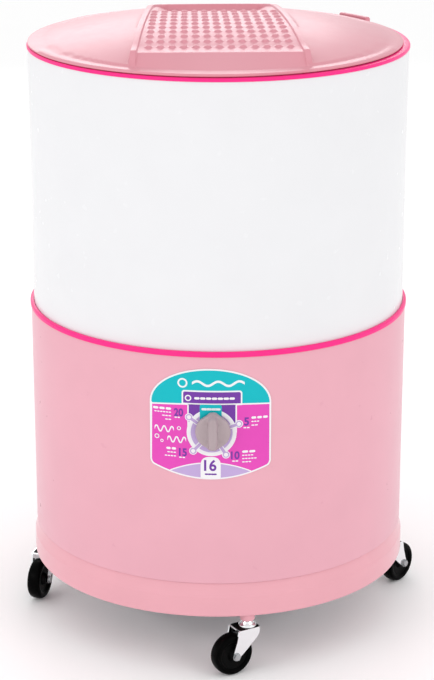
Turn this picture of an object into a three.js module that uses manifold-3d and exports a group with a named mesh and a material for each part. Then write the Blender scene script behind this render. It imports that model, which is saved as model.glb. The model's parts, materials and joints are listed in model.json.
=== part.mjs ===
// A round, free-standing, single-tub agitator washer on four swivel casters.
//
// Frame: millimetres, +Z up, origin on the floor below the tub's axis. The control panel faces -Y.
// Every piece is a closed solid in its own named mesh.
import * as THREE from "three";
import { mergeVertices } from "three/addons/utils/BufferGeometryUtils.js";
import Module from "manifold-3d";

const wasm = await Module();
wasm.setup();

// ---------------------------------------------------------------- driving dimensions

const GAP = 0.4; // clearance between pieces that touch
const ROUND = 32; // sides of the large round shells
const ROUND_INNER = 20; // sides of the agitator, the pulleys and the base pan
const ROUND_SMALL = 12; // sides of shafts, bosses and wheels

// The casters lift the body: its own heights are measured from BODY_DATUM above the floor.
const BODY_DATUM = 2.7;

const BASE_BOTTOM = 93;
const BASE_CREASE = 124.3; // where the base's shoulder turns upright
const BASE_TOP = 146.1; // the groove between the base and the lower cabinet
const BAND_BOTTOM = 505.9;
const BAND_TOP = 513.7;
const RIM_Z = 911.4; // top edge of the upper cabinet
const RING_BOTTOM = 910.7;
const RING_TOP = 915.6;
const LID_FLANGE_BOTTOM = 916.5;
const LID_FLANGE_TOP = 921.1;

const BASE_R = 297.8;
const LOWER_R = 294.2;
const UPPER_R = 290;
const BAND_R = 295.8;
const RING_R = 291.4;
const RING_WALL = 1;
const SHEET = 1.6; // cabinet sheet steel

const TUB_WALL = 3;
const TUB_R_TOP = 283.5;
const TUB_R_BOTTOM = 268;
const TUB_FLOOR = 400; // underside of the tub's floor

const LID_R = 285.6;
const LID_X = -4.5; // the loose lid lies a little to the left
const LID_TURN = 4; // and is turned a little about the tub's axis

const KNOB_X = 2.6;
const KNOB_Z = 393.7;
const KNOB_R = 27.2;
const HALF_DEPTH = 319; // the knob's face and the drain spout's end, from the tub's axis

// ---------------------------------------------------------------- shape helpers

const v2 = (x, y) => new THREE.Vector2(x, y);
const v3 = (x, y, z) => new THREE.Vector3(x, y, z);
const rad = THREE.MathUtils.degToRad;

// A closed geometry as a manifold solid, for joining and cutting.
function solid(geometry) {
  const bare = geometry.index ? geometry.clone() : mergeVertices(geometry);
  bare.deleteAttribute("normal");
  bare.deleteAttribute("uv");
  const merged = mergeVertices(bare, 1e-3);
  return new wasm.Manifold(
    new wasm.Mesh({
      numProp: 3,
      vertProperties: merged.attributes.position.array,
      triVerts: new Uint32Array(merged.index.array),
    }),
  );
}

// A manifold solid as a BufferGeometry.
function geometryOf(body) {
  const mesh = body.getMesh();
  const stride = mesh.numProp;
  const position = new Float32Array(mesh.numVert * 3);
  for (let i = 0; i < mesh.numVert; i++) {
    position.set(mesh.vertProperties.subarray(i * stride, i * stride + 3), i * 3);
  }
  return new THREE.BufferGeometry()
    .setAttribute("position", new THREE.BufferAttribute(position, 3))
    .setIndex(new THREE.BufferAttribute(new Uint32Array(mesh.triVerts), 1));
}

const join = (...bodies) => bodies.reduce((a, b) => a.add(b));
const cut = (body, ...tools) => tools.reduce((a, b) => a.subtract(b), body);

function place(body, x, y, z) {
  return solid(geometryOf(body).translate(x, y, z));
}

function turn(body, axis, degrees) {
  const matrix = new THREE.Matrix4().makeRotationAxis(axis, rad(degrees));
  return solid(geometryOf(body).applyMatrix4(matrix));
}

const AXIS_X = v3(1, 0, 0);
const AXIS_Z = v3(0, 0, 1);

// Revolves a closed outline of [radius, height] points about Z.
// Outlines may start and end on the axis; the first point isn't repeated.
function revolve(outline, sides = ROUND) {
  const area = outline.reduce((sum, [r, z], i) => {
    const [r2, z2] = outline[(i + 1) % outline.length];
    return sum + r * z2 - r2 * z;
  }, 0);
  const ordered = area > 0 ? outline : [...outline].reverse();
  const onAxis = ordered.findIndex(([r]) => r === 0);
  let points = ordered;
  if (onAxis >= 0) {
    const last = ordered.findLastIndex(([r]) => r === 0);
    const start = last === ordered.length - 1 && onAxis === 0 ? 0 : last;
    points = [...ordered.slice(start), ...ordered.slice(0, start)];
  } else {
    points = [...ordered, ordered[0]];
  }
  const lathe = new THREE.LatheGeometry(points.map(([r, z]) => v2(r, z)), sides);
  return solid(lathe.rotateX(Math.PI / 2));
}

// Extrudes an outline of [x, y] points up along Z, from z0 to z1.
function prism(outline, z0, z1, holes = []) {
  const shape = new THREE.Shape(outline.map(([x, y]) => v2(x, y)));
  shape.holes = holes.map((hole) => new THREE.Path(hole.map(([x, y]) => v2(x, y))));
  const block = new THREE.ExtrudeGeometry(shape, { depth: z1 - z0, bevelEnabled: false, steps: 1 });
  return solid(block.translate(0, 0, z0));
}

// Extrudes an outline of [x, z] points along Y, from y0 to y1.
function prismY(outline, y0, y1, holes = []) {
  return turn(prism(outline, -y1, -y0, holes), AXIS_X, 90);
}

// Extrudes an outline of [y, z] points along X, from x0 to x1.
function prismX(outline, x0, x1, holes = []) {
  const upright = turn(prism(outline, x0, x1, holes), AXIS_X, 90);
  return turn(upright, AXIS_Z, 90);
}

function circle(radius, sides = ROUND_SMALL, x = 0, y = 0) {
  return Array.from({ length: sides }, (_, i) => {
    const a = (2 * Math.PI * i) / sides;
    return [x + radius * Math.cos(a), y + radius * Math.sin(a)];
  });
}

function rectangle(x0, y0, x1, y1) {
  return [[x0, y0], [x1, y0], [x1, y1], [x0, y1]];
}

function roundedRectangle(x0, y0, x1, y1, radius, steps = 4) {
  const corners = [[x1 - radius, y1 - radius], [x0 + radius, y1 - radius],
    [x0 + radius, y0 + radius], [x1 - radius, y0 + radius]];
  return corners.flatMap(([x, y], quarter) =>
    Array.from({ length: steps + 1 }, (_, i) => {
      const a = (Math.PI / 2) * (quarter + i / steps);
      return [x + radius * Math.cos(a), y + radius * Math.sin(a)];
    }));
}

const rod = (radius, z0, z1, sides = ROUND_SMALL) => prism(circle(radius, sides), z0, z1);
const tube = (outer, inner, z0, z1, sides = ROUND_SMALL) =>
  prism(circle(outer, sides), z0, z1, [circle(inner, sides)]);

// A round rod or tube along Y.
const rodY = (radius, y0, y1, sides = ROUND_SMALL) => prismY(circle(radius, sides), y0, y1);
const tubeY = (outer, inner, y0, y1, sides = ROUND_SMALL) =>
  prismY(circle(outer, sides), y0, y1, [circle(inner, sides)]);

// A pipe along a smooth curve through the given points. inner = 0 makes a solid cord.
function pipe(points, outer, inner, steps, sides = 12) {
  const shape = new THREE.Shape(circle(outer, sides).map(([x, y]) => v2(x, y)));
  if (inner > 0) shape.holes = [new THREE.Path(circle(inner, sides).map(([x, y]) => v2(x, y)))];
  const extrudePath = new THREE.CatmullRomCurve3(points, false, "centripetal");
  return solid(new THREE.ExtrudeGeometry(shape, { extrudePath, steps }));
}

// A thin skin that follows the lower cabinet, between two distances from its surface.
const lowerSkin = (inside, outside, z0, z1) => tube(LOWER_R + outside, LOWER_R + inside, z0, z1, ROUND);

// ---------------------------------------------------------------- materials

const finish = (color, roughness, metalness = 0) => ({ color, roughness, metalness });
const PINK = finish("#f2b3bf", 0.35);
const LID_PINK = finish("#f6b6c2", 0.45);
const HOT_PINK = finish("#ff4fa3", 0.35);
const WHITE_ENAMEL = finish("#f3f3f4", 0.22);
const WHITE_PLASTIC = finish("#eceef0", 0.45);
const PANEL = finish("#ea58bd", 0.4);
const GREY = finish("#b3a7ac", 0.5);
const BLACK = finish("#151515", 0.5);
const RUBBER = finish("#222222", 0.8);
const CHROME = finish("#d0d3d6", 0.18, 1);
const STEEL = finish("#9a9da1", 0.4, 1);
const CAST = finish("#83868a", 0.6, 1);
const COPPER_GREY = finish("#5f6468", 0.5, 0.6);

const root = new THREE.Group();
const washer = new THREE.Group();
washer.position.z = BODY_DATUM;
root.add(washer);

function add(name, body, look, group = washer) {
  const mesh = new THREE.Mesh(geometryOf(body), new THREE.MeshStandardMaterial(look));
  mesh.name = name;
  group.add(mesh);
}

// ---------------------------------------------------------------- cabinet

const REAR_OPENING = [-100, 245, 100, 385]; // x0, z0, x1, z1
const REAR_COVER = [-122, 230, 122, 400];
const COVER_SHEET = 1.4;
const SCREW_SPOTS = [[-112.6, 238], [112.6, 238], [-112.6, 392], [112.6, 392]];
const SPOUT_Z = 203;
const GLAND_Z = 160;
const SHAFT_HOLE_R = 6;

// Turns a piece made on the +Y side so that it sits at an azimuth on the rear wall.
const onRear = (body, azimuth) => turn(body, AXIS_Z, -azimuth);
const azimuthOf = (x) => THREE.MathUtils.radToDeg(Math.asin(x / LOWER_R));
const rearHole = (radius, azimuth, z, sides = 16) =>
  onRear(place(rodY(radius, 260, 320, sides), 0, 0, z), azimuth);
const screwHoles = (radius) => SCREW_SPOTS.map(([x, z]) => rearHole(radius, azimuthOf(x), z, 8));

const SEAM_Z = BAND_BOTTOM + 3.3; // the trim band's web fills the seam between the cabinets
const WEB = 1.1;

const upperCabinet = () => tube(UPPER_R, UPPER_R - SHEET, SEAM_Z + WEB + GAP, RIM_Z, ROUND);

function lowerCabinet() {
  const wall = lowerSkin(-SHEET, 0, BASE_TOP + GAP, SEAM_Z - GAP);
  const knobHole = place(rodY(SHAFT_HOLE_R, -310, -270), KNOB_X, 0, KNOB_Z);
  const [x0, z0, x1, z1] = REAR_OPENING;
  const rearOpening = prismY(roundedRectangle(x0, z0, x1, z1, 12, 1), 240, 320);
  const serviceHoles = [rearHole(15.5, 0, SPOUT_Z, 24), rearHole(7.5, 0, GLAND_Z)];
  return cut(wall, knobHole, rearOpening, ...serviceHoles, ...screwHoles(2.4));
}

// T-section band that covers the joint between the two cabinets.
const midTrimBand = () => revolve([
  [LOWER_R + GAP, BAND_BOTTOM],
  [BAND_R, BAND_BOTTOM],
  [BAND_R, BAND_TOP - 1.4],
  [BAND_R - 1.4, BAND_TOP],
  [UPPER_R + GAP, BAND_TOP],
  [UPPER_R + GAP, SEAM_Z + WEB],
  [UPPER_R - 2.4, SEAM_Z + WEB],
  [UPPER_R - 2.4, SEAM_Z],
  [LOWER_R + GAP, SEAM_Z],
]);

// U-section ring pushed down over the rims of the tub and the cabinet.
const topTrimRing = () => revolve([
  [RING_R - RING_WALL, RING_BOTTOM],
  [RING_R, RING_BOTTOM],
  [RING_R, RING_TOP - 1],
  [RING_R - 1, RING_TOP],
  [277.6, RING_TOP],
  [277.6, 905],
  [279.4, 905],
  [279.4, RING_TOP - 1.5],
  [RING_R - RING_WALL, RING_TOP - 1.5],
]);

function rearCover() {
  const [x0, z0, x1, z1] = REAR_COVER;
  const outline = prismY(roundedRectangle(x0, z0, x1, z1, 14, 2), 240, 320);
  const plate = lowerSkin(GAP, GAP + COVER_SHEET, z0 - 5, z1 + 5).intersect(outline);
  const louvres = [285, 305, 325, 345].map((z) =>
    prismY(rectangle(-55, z, 55, z + 6), 240, 320));
  return cut(plate, ...louvres, ...screwHoles(2.6));
}

// Pan-head screw through the rear cover, made upright and laid along the wall's normal.
function coverScrew([x, z]) {
  const head = GAP; // the head's underside, from the cover's face
  const screw = revolve([
    [0, -9], [1.9, -9], [1.9, head], [4.6, head], [4, head + 2], [0, head + 2.6],
  ], 12);
  const driveSlot = prism(rectangle(-5, -0.5, 5, 0.5), head + 1.5, head + 4);
  const lying = turn(cut(screw, driveSlot), AXIS_X, -90);
  return onRear(place(lying, 0, LOWER_R + GAP + COVER_SHEET, z), azimuthOf(x));
}

// ---------------------------------------------------------------- base and casters

const STEM_R = 5.5;
const BOSS_R = 11.5;
const BOSS_BOTTOM = 81;
const STEM_TOP = 118;

// Each caster's direction from the tub's axis and its distance, then the way its wheel trails.
// Directions are in degrees from +X.
const CASTERS = [
  ["front", -79, 282, 212.5], ["right", 8, 282, 52], ["rear", 100, 282, 32.5], ["left", 180.5, 284, 254],
].map(([name, azimuth, distance, trail]) => {
  const a = rad(azimuth);
  return { name, x: distance * Math.cos(a), y: distance * Math.sin(a), trail };
});

function baseRing() {
  const wall = 3;
  const skirt = revolve([
    [258, BASE_BOTTOM + 3],
    [BASE_R - 6, BASE_BOTTOM + 3],
    [BASE_R - 2, BASE_BOTTOM],
    [BASE_R, BASE_BOTTOM + 2],
    [BASE_R - 1, BASE_CREASE],
    [293.2, BASE_TOP],
    [290, BASE_TOP],
    [BASE_R - 1 - wall, BASE_CREASE],
    [BASE_R - wall, BASE_BOTTOM + 6],
    [258, BASE_BOTTOM + 6],
  ]);
  const bosses = CASTERS.map(({ x, y }) => place(rod(BOSS_R, BOSS_BOTTOM, 128, 12), x, y, 0));
  const bores = CASTERS.map(({ x, y }) => place(rod(STEM_R + 0.6, BOSS_BOTTOM - 5, 123, 8), x, y, 0));
  return cut(join(skirt, ...bosses), ...bores);
}

function basePan() {
  const plate = revolve([
    [0, 106],
    [118, 106],
    [126, 99.5],
    [268, 99.5],
    [268, 101.3],
    [127, 101.3],
    [119, 107.8],
    [0, 107.8],
  ], ROUND_INNER);
  const vent = prism(roundedRectangle(-34, -6, 34, 6, 5.9, 1), 90, 120);
  const vents = [45, 135, 225, 315].map((a) => turn(place(vent, 0, 190, 0), AXIS_Z, a));
  return cut(plate, ...vents);
}

const WHEEL_R = 33;
const WHEEL_HALF = 11;
const TRAIL = 28;
const FORK_GAP = 13; // half the space between the fork's legs
const FORK_PLATE = 2.5;
const FORK_TOP = 74;

// The fork is made with its stem on the Z axis and its wheel trailing along +X.
function casterFork() {
  const outer = FORK_GAP + FORK_PLATE;
  const head = prism([
    [-15, -outer + 4], [-11, -outer], [24, -outer],
    [24, outer], [-11, outer], [-15, outer - 4],
  ], FORK_TOP - FORK_PLATE, FORK_TOP);
  const legOutline = [
    [-13, FORK_TOP], [-13, 63], [19, 31.5], [23.5, 28], [28, 26.8], [32.5, 28], [34.5, 33], [32, 40],
    [27, 56], [24, FORK_TOP],
  ];
  const legs = [-1, 1].map((side) => {
    const [a, b] = [side * FORK_GAP, side * outer].sort((p, q) => p - q);
    return prismY(legOutline, a, b);
  });
  const race = revolve([
    [0, FORK_TOP - 1], [14, FORK_TOP - 1], [14, FORK_TOP + 2], [11.5, FORK_TOP + 5],
    [8, BOSS_BOTTOM + BODY_DATUM - GAP], [0, BOSS_BOTTOM + BODY_DATUM - GAP],
  ], ROUND_SMALL);
  const stem = rod(STEM_R, FORK_TOP - FORK_PLATE, STEM_TOP, 8);
  const axleHole = place(rodY(4.6, -20, 20, 8), TRAIL, 0, WHEEL_R);
  return cut(join(head, ...legs, race, stem), axleHole);
}

// The wheel stands on one of its flats.
function casterWheel() {
  const sides = 16;
  const treadR = WHEEL_R / Math.cos(Math.PI / sides);
  const wheel = revolve([
    [4.6, -12.4], [9, -12.4], [9, -7.5], [20, -7.5], [23, -WHEEL_HALF], [treadR, -7],
    [treadR, 7], [23, WHEEL_HALF], [20, 7.5], [9, 7.5], [9, 12.4], [4.6, 12.4],
  ], sides);
  return place(turn(turn(wheel, AXIS_Z, 180 / sides), AXIS_X, 90), TRAIL, 0, WHEEL_R);
}

function casterAxle() {
  const outer = FORK_GAP + FORK_PLATE;
  const pin = rodY(4, -outer - 0.8, outer + 0.8, 8);
  const heads = [-1, 1].map((side) => {
    const [a, b] = [side * (outer + GAP), side * (outer + 4)].sort((p, q) => p - q);
    return prismY(circle(6.6, 6), a, b);
  });
  return place(join(pin, ...heads), TRAIL, 0, WHEEL_R);
}

function addCasters() {
  for (const { name, x, y, trail } of CASTERS) {
    const swivel = new THREE.Group();
    swivel.position.set(x, y, 0);
    swivel.rotation.z = rad(trail);
    root.add(swivel);
    add(`${name}_caster_fork`, casterFork(), CHROME, swivel);
    add(`${name}_caster_wheel`, casterWheel(), BLACK, swivel);
    add(`${name}_caster_axle`, casterAxle(), STEEL, swivel);
  }
}

// ---------------------------------------------------------------- tub and agitator

const DRAIN_Y = 190;
const HUB_HOLE_R = 20;

function washTub() {
  const rimTop = RIM_Z + 2.3;
  const shell = revolve([
    [HUB_HOLE_R, 424], // inside, from the hub outwards
    [44, 422],
    [64, TUB_FLOOR + TUB_WALL],
    [TUB_R_BOTTOM - 32, TUB_FLOOR + TUB_WALL],
    [TUB_R_BOTTOM - 11, 411],
    [TUB_R_BOTTOM - TUB_WALL, 430],
    [TUB_R_TOP - TUB_WALL, rimTop],
    [UPPER_R - 0.6, rimTop], // rim flange over the cabinet's edge
    [UPPER_R - 0.6, RIM_Z + GAP],
    [TUB_R_TOP, RIM_Z + GAP],
    [TUB_R_BOTTOM, 429],
    [TUB_R_BOTTOM - 9, 409],
    [TUB_R_BOTTOM - 31, TUB_FLOOR],
    [62, TUB_FLOOR],
    [42, 419],
    [HUB_HOLE_R, 421],
  ]);
  return cut(shell, place(rod(16, 380, 420), 0, DRAIN_Y, 0));
}

function drainStrainer() {
  const dish = revolve([
    [0, 404.6], [20, 404.6], [20, 403.4], [25, 403.4], [22, 406.6], [0, 406.6],
  ], ROUND_SMALL);
  const spout = tube(14.5, 12.5, 396, 405);
  const holes = [0, 90, 180, 270].map((a) =>
    place(rod(2.6, 400, 410, 6), 8.5 * Math.cos(rad(a)), 8.5 * Math.sin(rad(a)), 0));
  return place(cut(join(dish, spout), ...holes), 0, DRAIN_Y, 0);
}

const BRACE_TOP = TUB_FLOOR - GAP;

// Two crossed steel straps that carry the tub's floor and the gearbox from the cabinet wall.
function driveCrossbrace() {
  const arm = (a) => turn(prism(rectangle(-28, -285, 28, 285), BRACE_TOP - 3, BRACE_TOP), AXIS_Z, a);
  const tabs = [0, 90, 180, 270].map((a) =>
    turn(prism(rectangle(-28, 282.5, 28, 285), BRACE_TOP - 28, BRACE_TOP), AXIS_Z, a + 45));
  const plate = rod(95, BRACE_TOP - 3, BRACE_TOP, 24);
  return cut(join(plate, arm(45), arm(-45), ...tabs), rod(22, 390, 402));
}

function bearingHousing() {
  return revolve([
    [8.6, 391.6], [62, 391.6], [62, BRACE_TOP - 3 - GAP], [19.5, BRACE_TOP - 3 - GAP],
    [19.5, 438], [8.6, 438],
  ], 20);
}

function shaftSeal() {
  return revolve([
    [8.6, 438.4], [19, 438.4], [19, 441], [13, 443], [11, 448], [8.6, 448],
  ], ROUND_SMALL);
}

const AGITATOR_TOP = 712;

function agitator() {
  const shell = revolve([
    [150, 411], [150, 416], [112, 428], [77, 452], [57, 492], [46, 570], [40, AGITATOR_TOP],
    [36, AGITATOR_TOP], [42, 570], [53, 490], [72.5, 449.5], [110, 424], [146, 411],
  ], ROUND_INNER);
  const web = revolve([[8.7, 478], [60.5, 478], [58, 484], [8.7, 484]], ROUND_INNER);
  const hub = tube(18, 8.7, 455, 506, ROUND_SMALL);
  const vaneOutline = [[38, 418], [146, 413], [142, 432], [112, 470], [84, 540], [60, 640], [50, 690], [38, 694]];
  const vane = prismY(vaneOutline, -4, 4);
  const vanes = [0, 90, 180, 270].map((a) => turn(vane, AXIS_Z, a));
  const hollow = revolve([
    [0, 405], [146, 405], [146, 411], [110, 424], [72.5, 449.5], [53, 490], [42, 570], [36, 720], [0, 720],
  ], ROUND_INNER);
  return join(shell, cut(join(...vanes), hollow), web, hub);
}

function agitatorCap() {
  return revolve([
    [0, 706], [35, 706], [35, AGITATOR_TOP + GAP], [40, AGITATOR_TOP + GAP], [40, 716], [30, 726], [0, 730],
  ], ROUND_INNER);
}

function agitatorShaft() {
  return join(rod(8, 360, 470), rod(7.2, 469, 507), rod(12, 506.4, 512, 6));
}

// ---------------------------------------------------------------- drive

const INPUT_X = -25; // input shaft of the gearbox
const BELT_Z = 272;
const MOTOR_X = 165;
const BIG_PULLEY_R = 92;
const MOTOR_PULLEY_R = 23;
const PAD_ANGLES = [0, 120, 240];

// Cast case with a blind bore for each shaft. The gears inside it are left out.
function gearboxCase() {
  const inputBoss = place(rod(17, 300, 320), INPUT_X, 0, 0);
  const inputBore = place(rod(8.6, 290, 350), INPUT_X, 0, 0);
  const outputBore = rod(8.6, 355, 400);
  const block = revolve([
    [0, 312], [60, 312], [66, 318], [66, 384], [72, 388], [84, 388], [84, 391.2], [0, 391.2],
  ], ROUND_INNER);
  return cut(join(block, inputBoss), inputBore, outputBore);
}

const inputShaft = () => place(rod(8, 256, 346), INPUT_X, 0, 0);

function vPulley(radius, bore, hubR, z0, z1, sides) {
  const web = [[bore, z0 - 6], [hubR, z0 - 6], [hubR, z0 + 3], [radius - 12, z0 + 3], [radius - 12, z0]];
  const rim = [[radius, z0], [radius - 5.5, z0 + 4], [radius - 5.5, z1 - 4], [radius, z1]];
  const back = [[radius - 12, z1], [radius - 12, z0 + 6], [hubR, z0 + 6], [hubR, z1 + 4], [bore, z1 + 4]];
  return revolve([...web, ...rim, ...back], sides);
}

function gearboxPulley() {
  const wheel = vPulley(BIG_PULLEY_R, 8.4, 20, BELT_Z - 7, BELT_Z + 7, 24);
  const windows = [45, 135, 225, 315].map((a) =>
    turn(place(rod(19, 250, 290, 6), 50, 0, 0), AXIS_Z, a));
  return place(cut(wheel, ...windows), INPUT_X, 0, 0);
}

const motorPulley = () =>
  place(revolve([
    [6.4, 262], [13, 262], [13, 265], [MOTOR_PULLEY_R, 265], [MOTOR_PULLEY_R - 5.5, 269],
    [MOTOR_PULLEY_R - 5.5, 275], [MOTOR_PULLEY_R, 279], [6.4, 279],
  ], 20), MOTOR_X, 0, 0);

const motorShaft = () => place(rod(6, 232, 286), MOTOR_X, 0, 0);

// V-belt: the outer common tangents of both pulleys, with an arc round each.
function driveBelt() {
  const span = MOTOR_X - INPUT_X;
  const lean = Math.acos((BIG_PULLEY_R - MOTOR_PULLEY_R) / span);
  const loop = (offset) => {
    const arc = (cx, radius, from, to, steps) =>
      Array.from({ length: steps + 1 }, (_, i) => {
        const a = from + ((to - from) * i) / steps;
        return [cx + radius * Math.cos(a), radius * Math.sin(a)];
      });
    const big = arc(INPUT_X, BIG_PULLEY_R + offset, lean, 2 * Math.PI - lean, 26);
    const small = arc(MOTOR_X, MOTOR_PULLEY_R + offset, -lean, lean, 9);
    return [...big, ...small];
  };
  return prism(loop(1.5), BELT_Z - 3.2, BELT_Z + 3.2, [loop(-4.5)]);
}

function motorHousing() {
  const barrel = revolve([
    [0, 116], [48, 116], [63, 128], [63, 222], [40, 233], [18, 235], [18, 240], [0, 240],
  ], 28);
  const feet = PAD_ANGLES.map((a) =>
    turn(prism(rectangle(58, -9, 76, 9), 121, 125), AXIS_Z, a));
  const legs = PAD_ANGLES.map((a) =>
    turn(prism(rectangle(52, -9, 61, 9), 121, 150), AXIS_Z, a));
  return place(cut(join(barrel, ...feet, ...legs), rod(6.4, 225, 250)), MOTOR_X, 0, 0);
}

function motorBracket() {
  const plate = place(prism(roundedRectangle(-84, -84, 84, 84, 30), 102, 105), MOTOR_X, 0, 0);
  return cut(plate, place(rod(40, 90, 110, 20), MOTOR_X, 0, 0), rod(127.5, 90, 110, 36));
}

function motorPad(angle) {
  const r = 70;
  return place(tube(8.5, 3, 105.4, 120.6, 10), MOTOR_X + r * Math.cos(rad(angle)), r * Math.sin(rad(angle)), 0);
}

const runCapacitor = () => place(join(rod(20, 101.7, 168), rod(3, 167, 178, 8)), 60, 150, 0);

// ---------------------------------------------------------------- controls

const PANEL_X = -1.8;
const PANEL_HALF = 89.4;
const PANEL_THICK = 1;
const PANEL_FACE_Y = -(LOWER_R + GAP + PANEL_THICK);

// The panel's outline: straight sides, an arched top, blunt lower corners and a bowed bottom.
function panelOutline() {
  const [top, shoulder, corner, bottom] = [488.7, 433.6, 336.6, 315.6];
  const arch = Array.from({ length: 13 }, (_, i) => {
    const a = (Math.PI * i) / 12;
    return [PANEL_HALF * Math.cos(a), shoulder + (top - shoulder) * Math.sin(a)];
  });
  const bow = Array.from({ length: 9 }, (_, i) => {
    const t = -0.92 + 0.23 * i;
    return [PANEL_HALF * t, bottom + (corner - bottom) * t ** 2];
  });
  const outline = [...arch, [-PANEL_HALF, corner + 8], ...bow, [PANEL_HALF, corner + 8]];
  return outline.map(([x, z]) => [x + PANEL_X, z]);
}

function controlPanel() {
  const skin = lowerSkin(GAP, GAP + PANEL_THICK, 300, 500);
  const window = prismY(panelOutline(), -320, -250);
  return cut(skin.intersect(window), place(rodY(SHAFT_HOLE_R, -320, -270), KNOB_X, 0, KNOB_Z));
}

function timerHousing() {
  const box = prism(roundedRectangle(-30, -282, 30, -238, 4, 1), -38, 5);
  const collar = rodY(9, -291.2, -281);
  const cap = place(rodY(14, -239, -230), 0, 0, -15);
  return place(cut(join(box, collar, cap), rodY(3.5, -295, -252)), KNOB_X, 0, KNOB_Z);
}

const timerShaft = () => place(rodY(3, -311, -255, 16), KNOB_X, 0, KNOB_Z);

const timerNut = () => place(cut(prismY(circle(9, 6), PANEL_FACE_Y - 2.8, PANEL_FACE_Y - 0.6),
  rodY(3.6, -310, -280, 16)), KNOB_X, 0, KNOB_Z);

function timerKnob() {
  const back = PANEL_FACE_Y - 3.4;
  const reach = HALF_DEPTH + back; // from the knob's back to the grip's face
  const skirt = turn(revolve([
    [0, 0], [KNOB_R - 1, 0], [KNOB_R, 1], [KNOB_R, 5.5], [KNOB_R - 4, 8], [0, 8],
  ], 28), AXIS_X, 90);
  const gripFront = [[-9, -25], [-7, -29.3], [7, -29.3], [9, -25], [7.5, 22], [5.5, 29.3], [-5.5, 29.3], [-7.5, 22]];
  const gripSide = [[-1, -29.3], [-1, 29.3], [-9, 29.3], [-reach + 4, 25.5], [-reach, 21],
    [-reach, -21], [-reach + 4, -25.5], [-9, -29.3]];
  const grip = prismY(gripFront, -reach, -1).intersect(prismX(gripSide, -10, 10));
  const bore = rodY(3.4, -14, 2, 16);
  return place(cut(join(skirt, grip), bore), KNOB_X, back, KNOB_Z);
}

// Cable held along its whole way from the timer to the motor.
const timerHarness = () => pipe([
  v3(18, -248, 354), v3(24, -246, 333), v3(60, -238, 290), v3(110, -216, 230), v3(146, -176, 160),
  v3(158, -120, 114), v3(163, -88, 118), v3(165, -66, 132),
], 4, 0, 18, 6);

// ---------------------------------------------------------------- drain and services at the rear

// Flanged elbow below the tub: straight down, then a bend towards the rear wall.
function drainElbow() {
  const flange = place(cut(rod(18, 392, TUB_FLOOR - GAP), rod(15, 380, 410)), 0, DRAIN_Y, 0);
  const bend = pipe([v3(0, DRAIN_Y, 396), v3(0, DRAIN_Y, 384), v3(0, DRAIN_Y + 4, 372), v3(0, DRAIN_Y + 15, 362),
    v3(0, DRAIN_Y + 28, 357)], 17.5, 15, 5, 10);
  return join(flange, bend);
}

const drainHose = () => pipe([
  v3(0, DRAIN_Y + 30, 356.4), v3(0, DRAIN_Y + 44, 350), v3(0, 243, 328), v3(0, 238, 285), v3(0, 224, 238),
  v3(0, 230, 212), v3(0, 248, 203.5), v3(0, 268, SPOUT_Z),
], 16, 12.5, 13, 10);

// A fitting on the rear wall, from an outline of [radius, distance from the tub's axis].
const rearFitting = (outline, sides) => turn(revolve(outline, sides), AXIS_X, -90);

function drainSpout() {
  const seat = LOWER_R + GAP;
  return place(rearFitting([
    [11, 268.6], [14.5, 268.6], [14.5, seat], [23, seat], [23, seat + 3], [15, seat + 3],
    [15, 312], [16, 313], [13.4, HALF_DEPTH], [11, HALF_DEPTH],
  ], ROUND_SMALL), 0, 0, SPOUT_Z);
}

function cordGland() {
  const seat = LOWER_R + GAP;
  const bush = rearFitting([
    [3.5, 283], [7, 283], [7, seat], [10.5, seat], [10.5, seat + 4], [6.6, seat + 16], [3.5, seat + 16],
  ], 12);
  return place(bush, 0, 0, GLAND_Z);
}

const HOLDER_AZIMUTH = 47;

// Moulded bracket on the rear of the rim, with a spring clip for the end of a drain hose.
function hoseHolder() {
  const top = 922.5;
  const [inside, outside] = [RING_R + GAP, RING_R + 4.4];
  const wedge = prismY([[-31, 862], [31, 862], [31, 908], [27, top], [-27, top], [-31, 908]], 240, 320);
  const hood = revolve([
    [286.2, RING_TOP + GAP], [286.2, top - 2], [288, top], [outside - 2, top], [outside, top - 3],
    [outside, 862], [inside, 862], [inside, RING_TOP + GAP],
  ]);
  const plate = hood.intersect(onRear(wedge, HOLDER_AZIMUTH));
  const clipMouth = prism(rectangle(-10, 6, 10, 30), 870, 910);
  const clip = place(cut(tube(12, 9, 878, 900, 16), clipMouth), 0, outside + 10.5, 0);
  return join(plate, onRear(clip, HOLDER_AZIMUTH));
}

// ---------------------------------------------------------------- lid

const DOME_R = 262;
const DOME_RISE = 29.8;
const DOME_STEPS = [0, 110, 190, 238, DOME_R];
const LID_WALL = 3;
const LIP_R = 271.2;
const LIP_WALL = 2.5;
const LIP_BOTTOM = 903;
const domeZ = (r) => LID_FLANGE_TOP + DOME_RISE * (1 - (r / DOME_R) ** 2.2);

// The washboard follows the dome from front to back and is flat from side to side. A plain slope
// leads down from its front edge, and two rails beside it draw together towards the rear.
const BOARD_FRONT = -200;
const BOARD_BACK = 160;
const BOARD_Y = [BOARD_FRONT, -150, -100, -50, 0, 50, 100, BOARD_BACK];
const SLOPE_FRONT = -DOME_R;
const SLOPE_TOE = LID_FLANGE_TOP + 0.6;
const RAIL = 10;
const RAIL_PROUD = 3.5;
const FRAME_R = 266; // the rails end on this circle
const TRAY = [66, 150]; // y of the soap tray behind the washboard
const TRAY_HALF = 64;
const TRAY_FLOOR = LID_FLANGE_TOP + 15;
const boardHalf = (y) => 102.4 - 0.0804 * y;

// The washboard's plan, widened by some distance, between two values of y.
const boardPlan = (outside, y0, y1) => [
  [-boardHalf(y0) - outside, y0], [boardHalf(y0) + outside, y0],
  [boardHalf(y1) + outside, y1], [-boardHalf(y1) - outside, y1],
];

// The washboard's side profile as [y, z] points, raised by some distance.
const boardProfile = (rise) =>
  [[SLOPE_FRONT, SLOPE_TOE], ...BOARD_Y.map((y) => [y, domeZ(Math.abs(y))])]
    .map(([y, z]) => [y, z + rise]);

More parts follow.
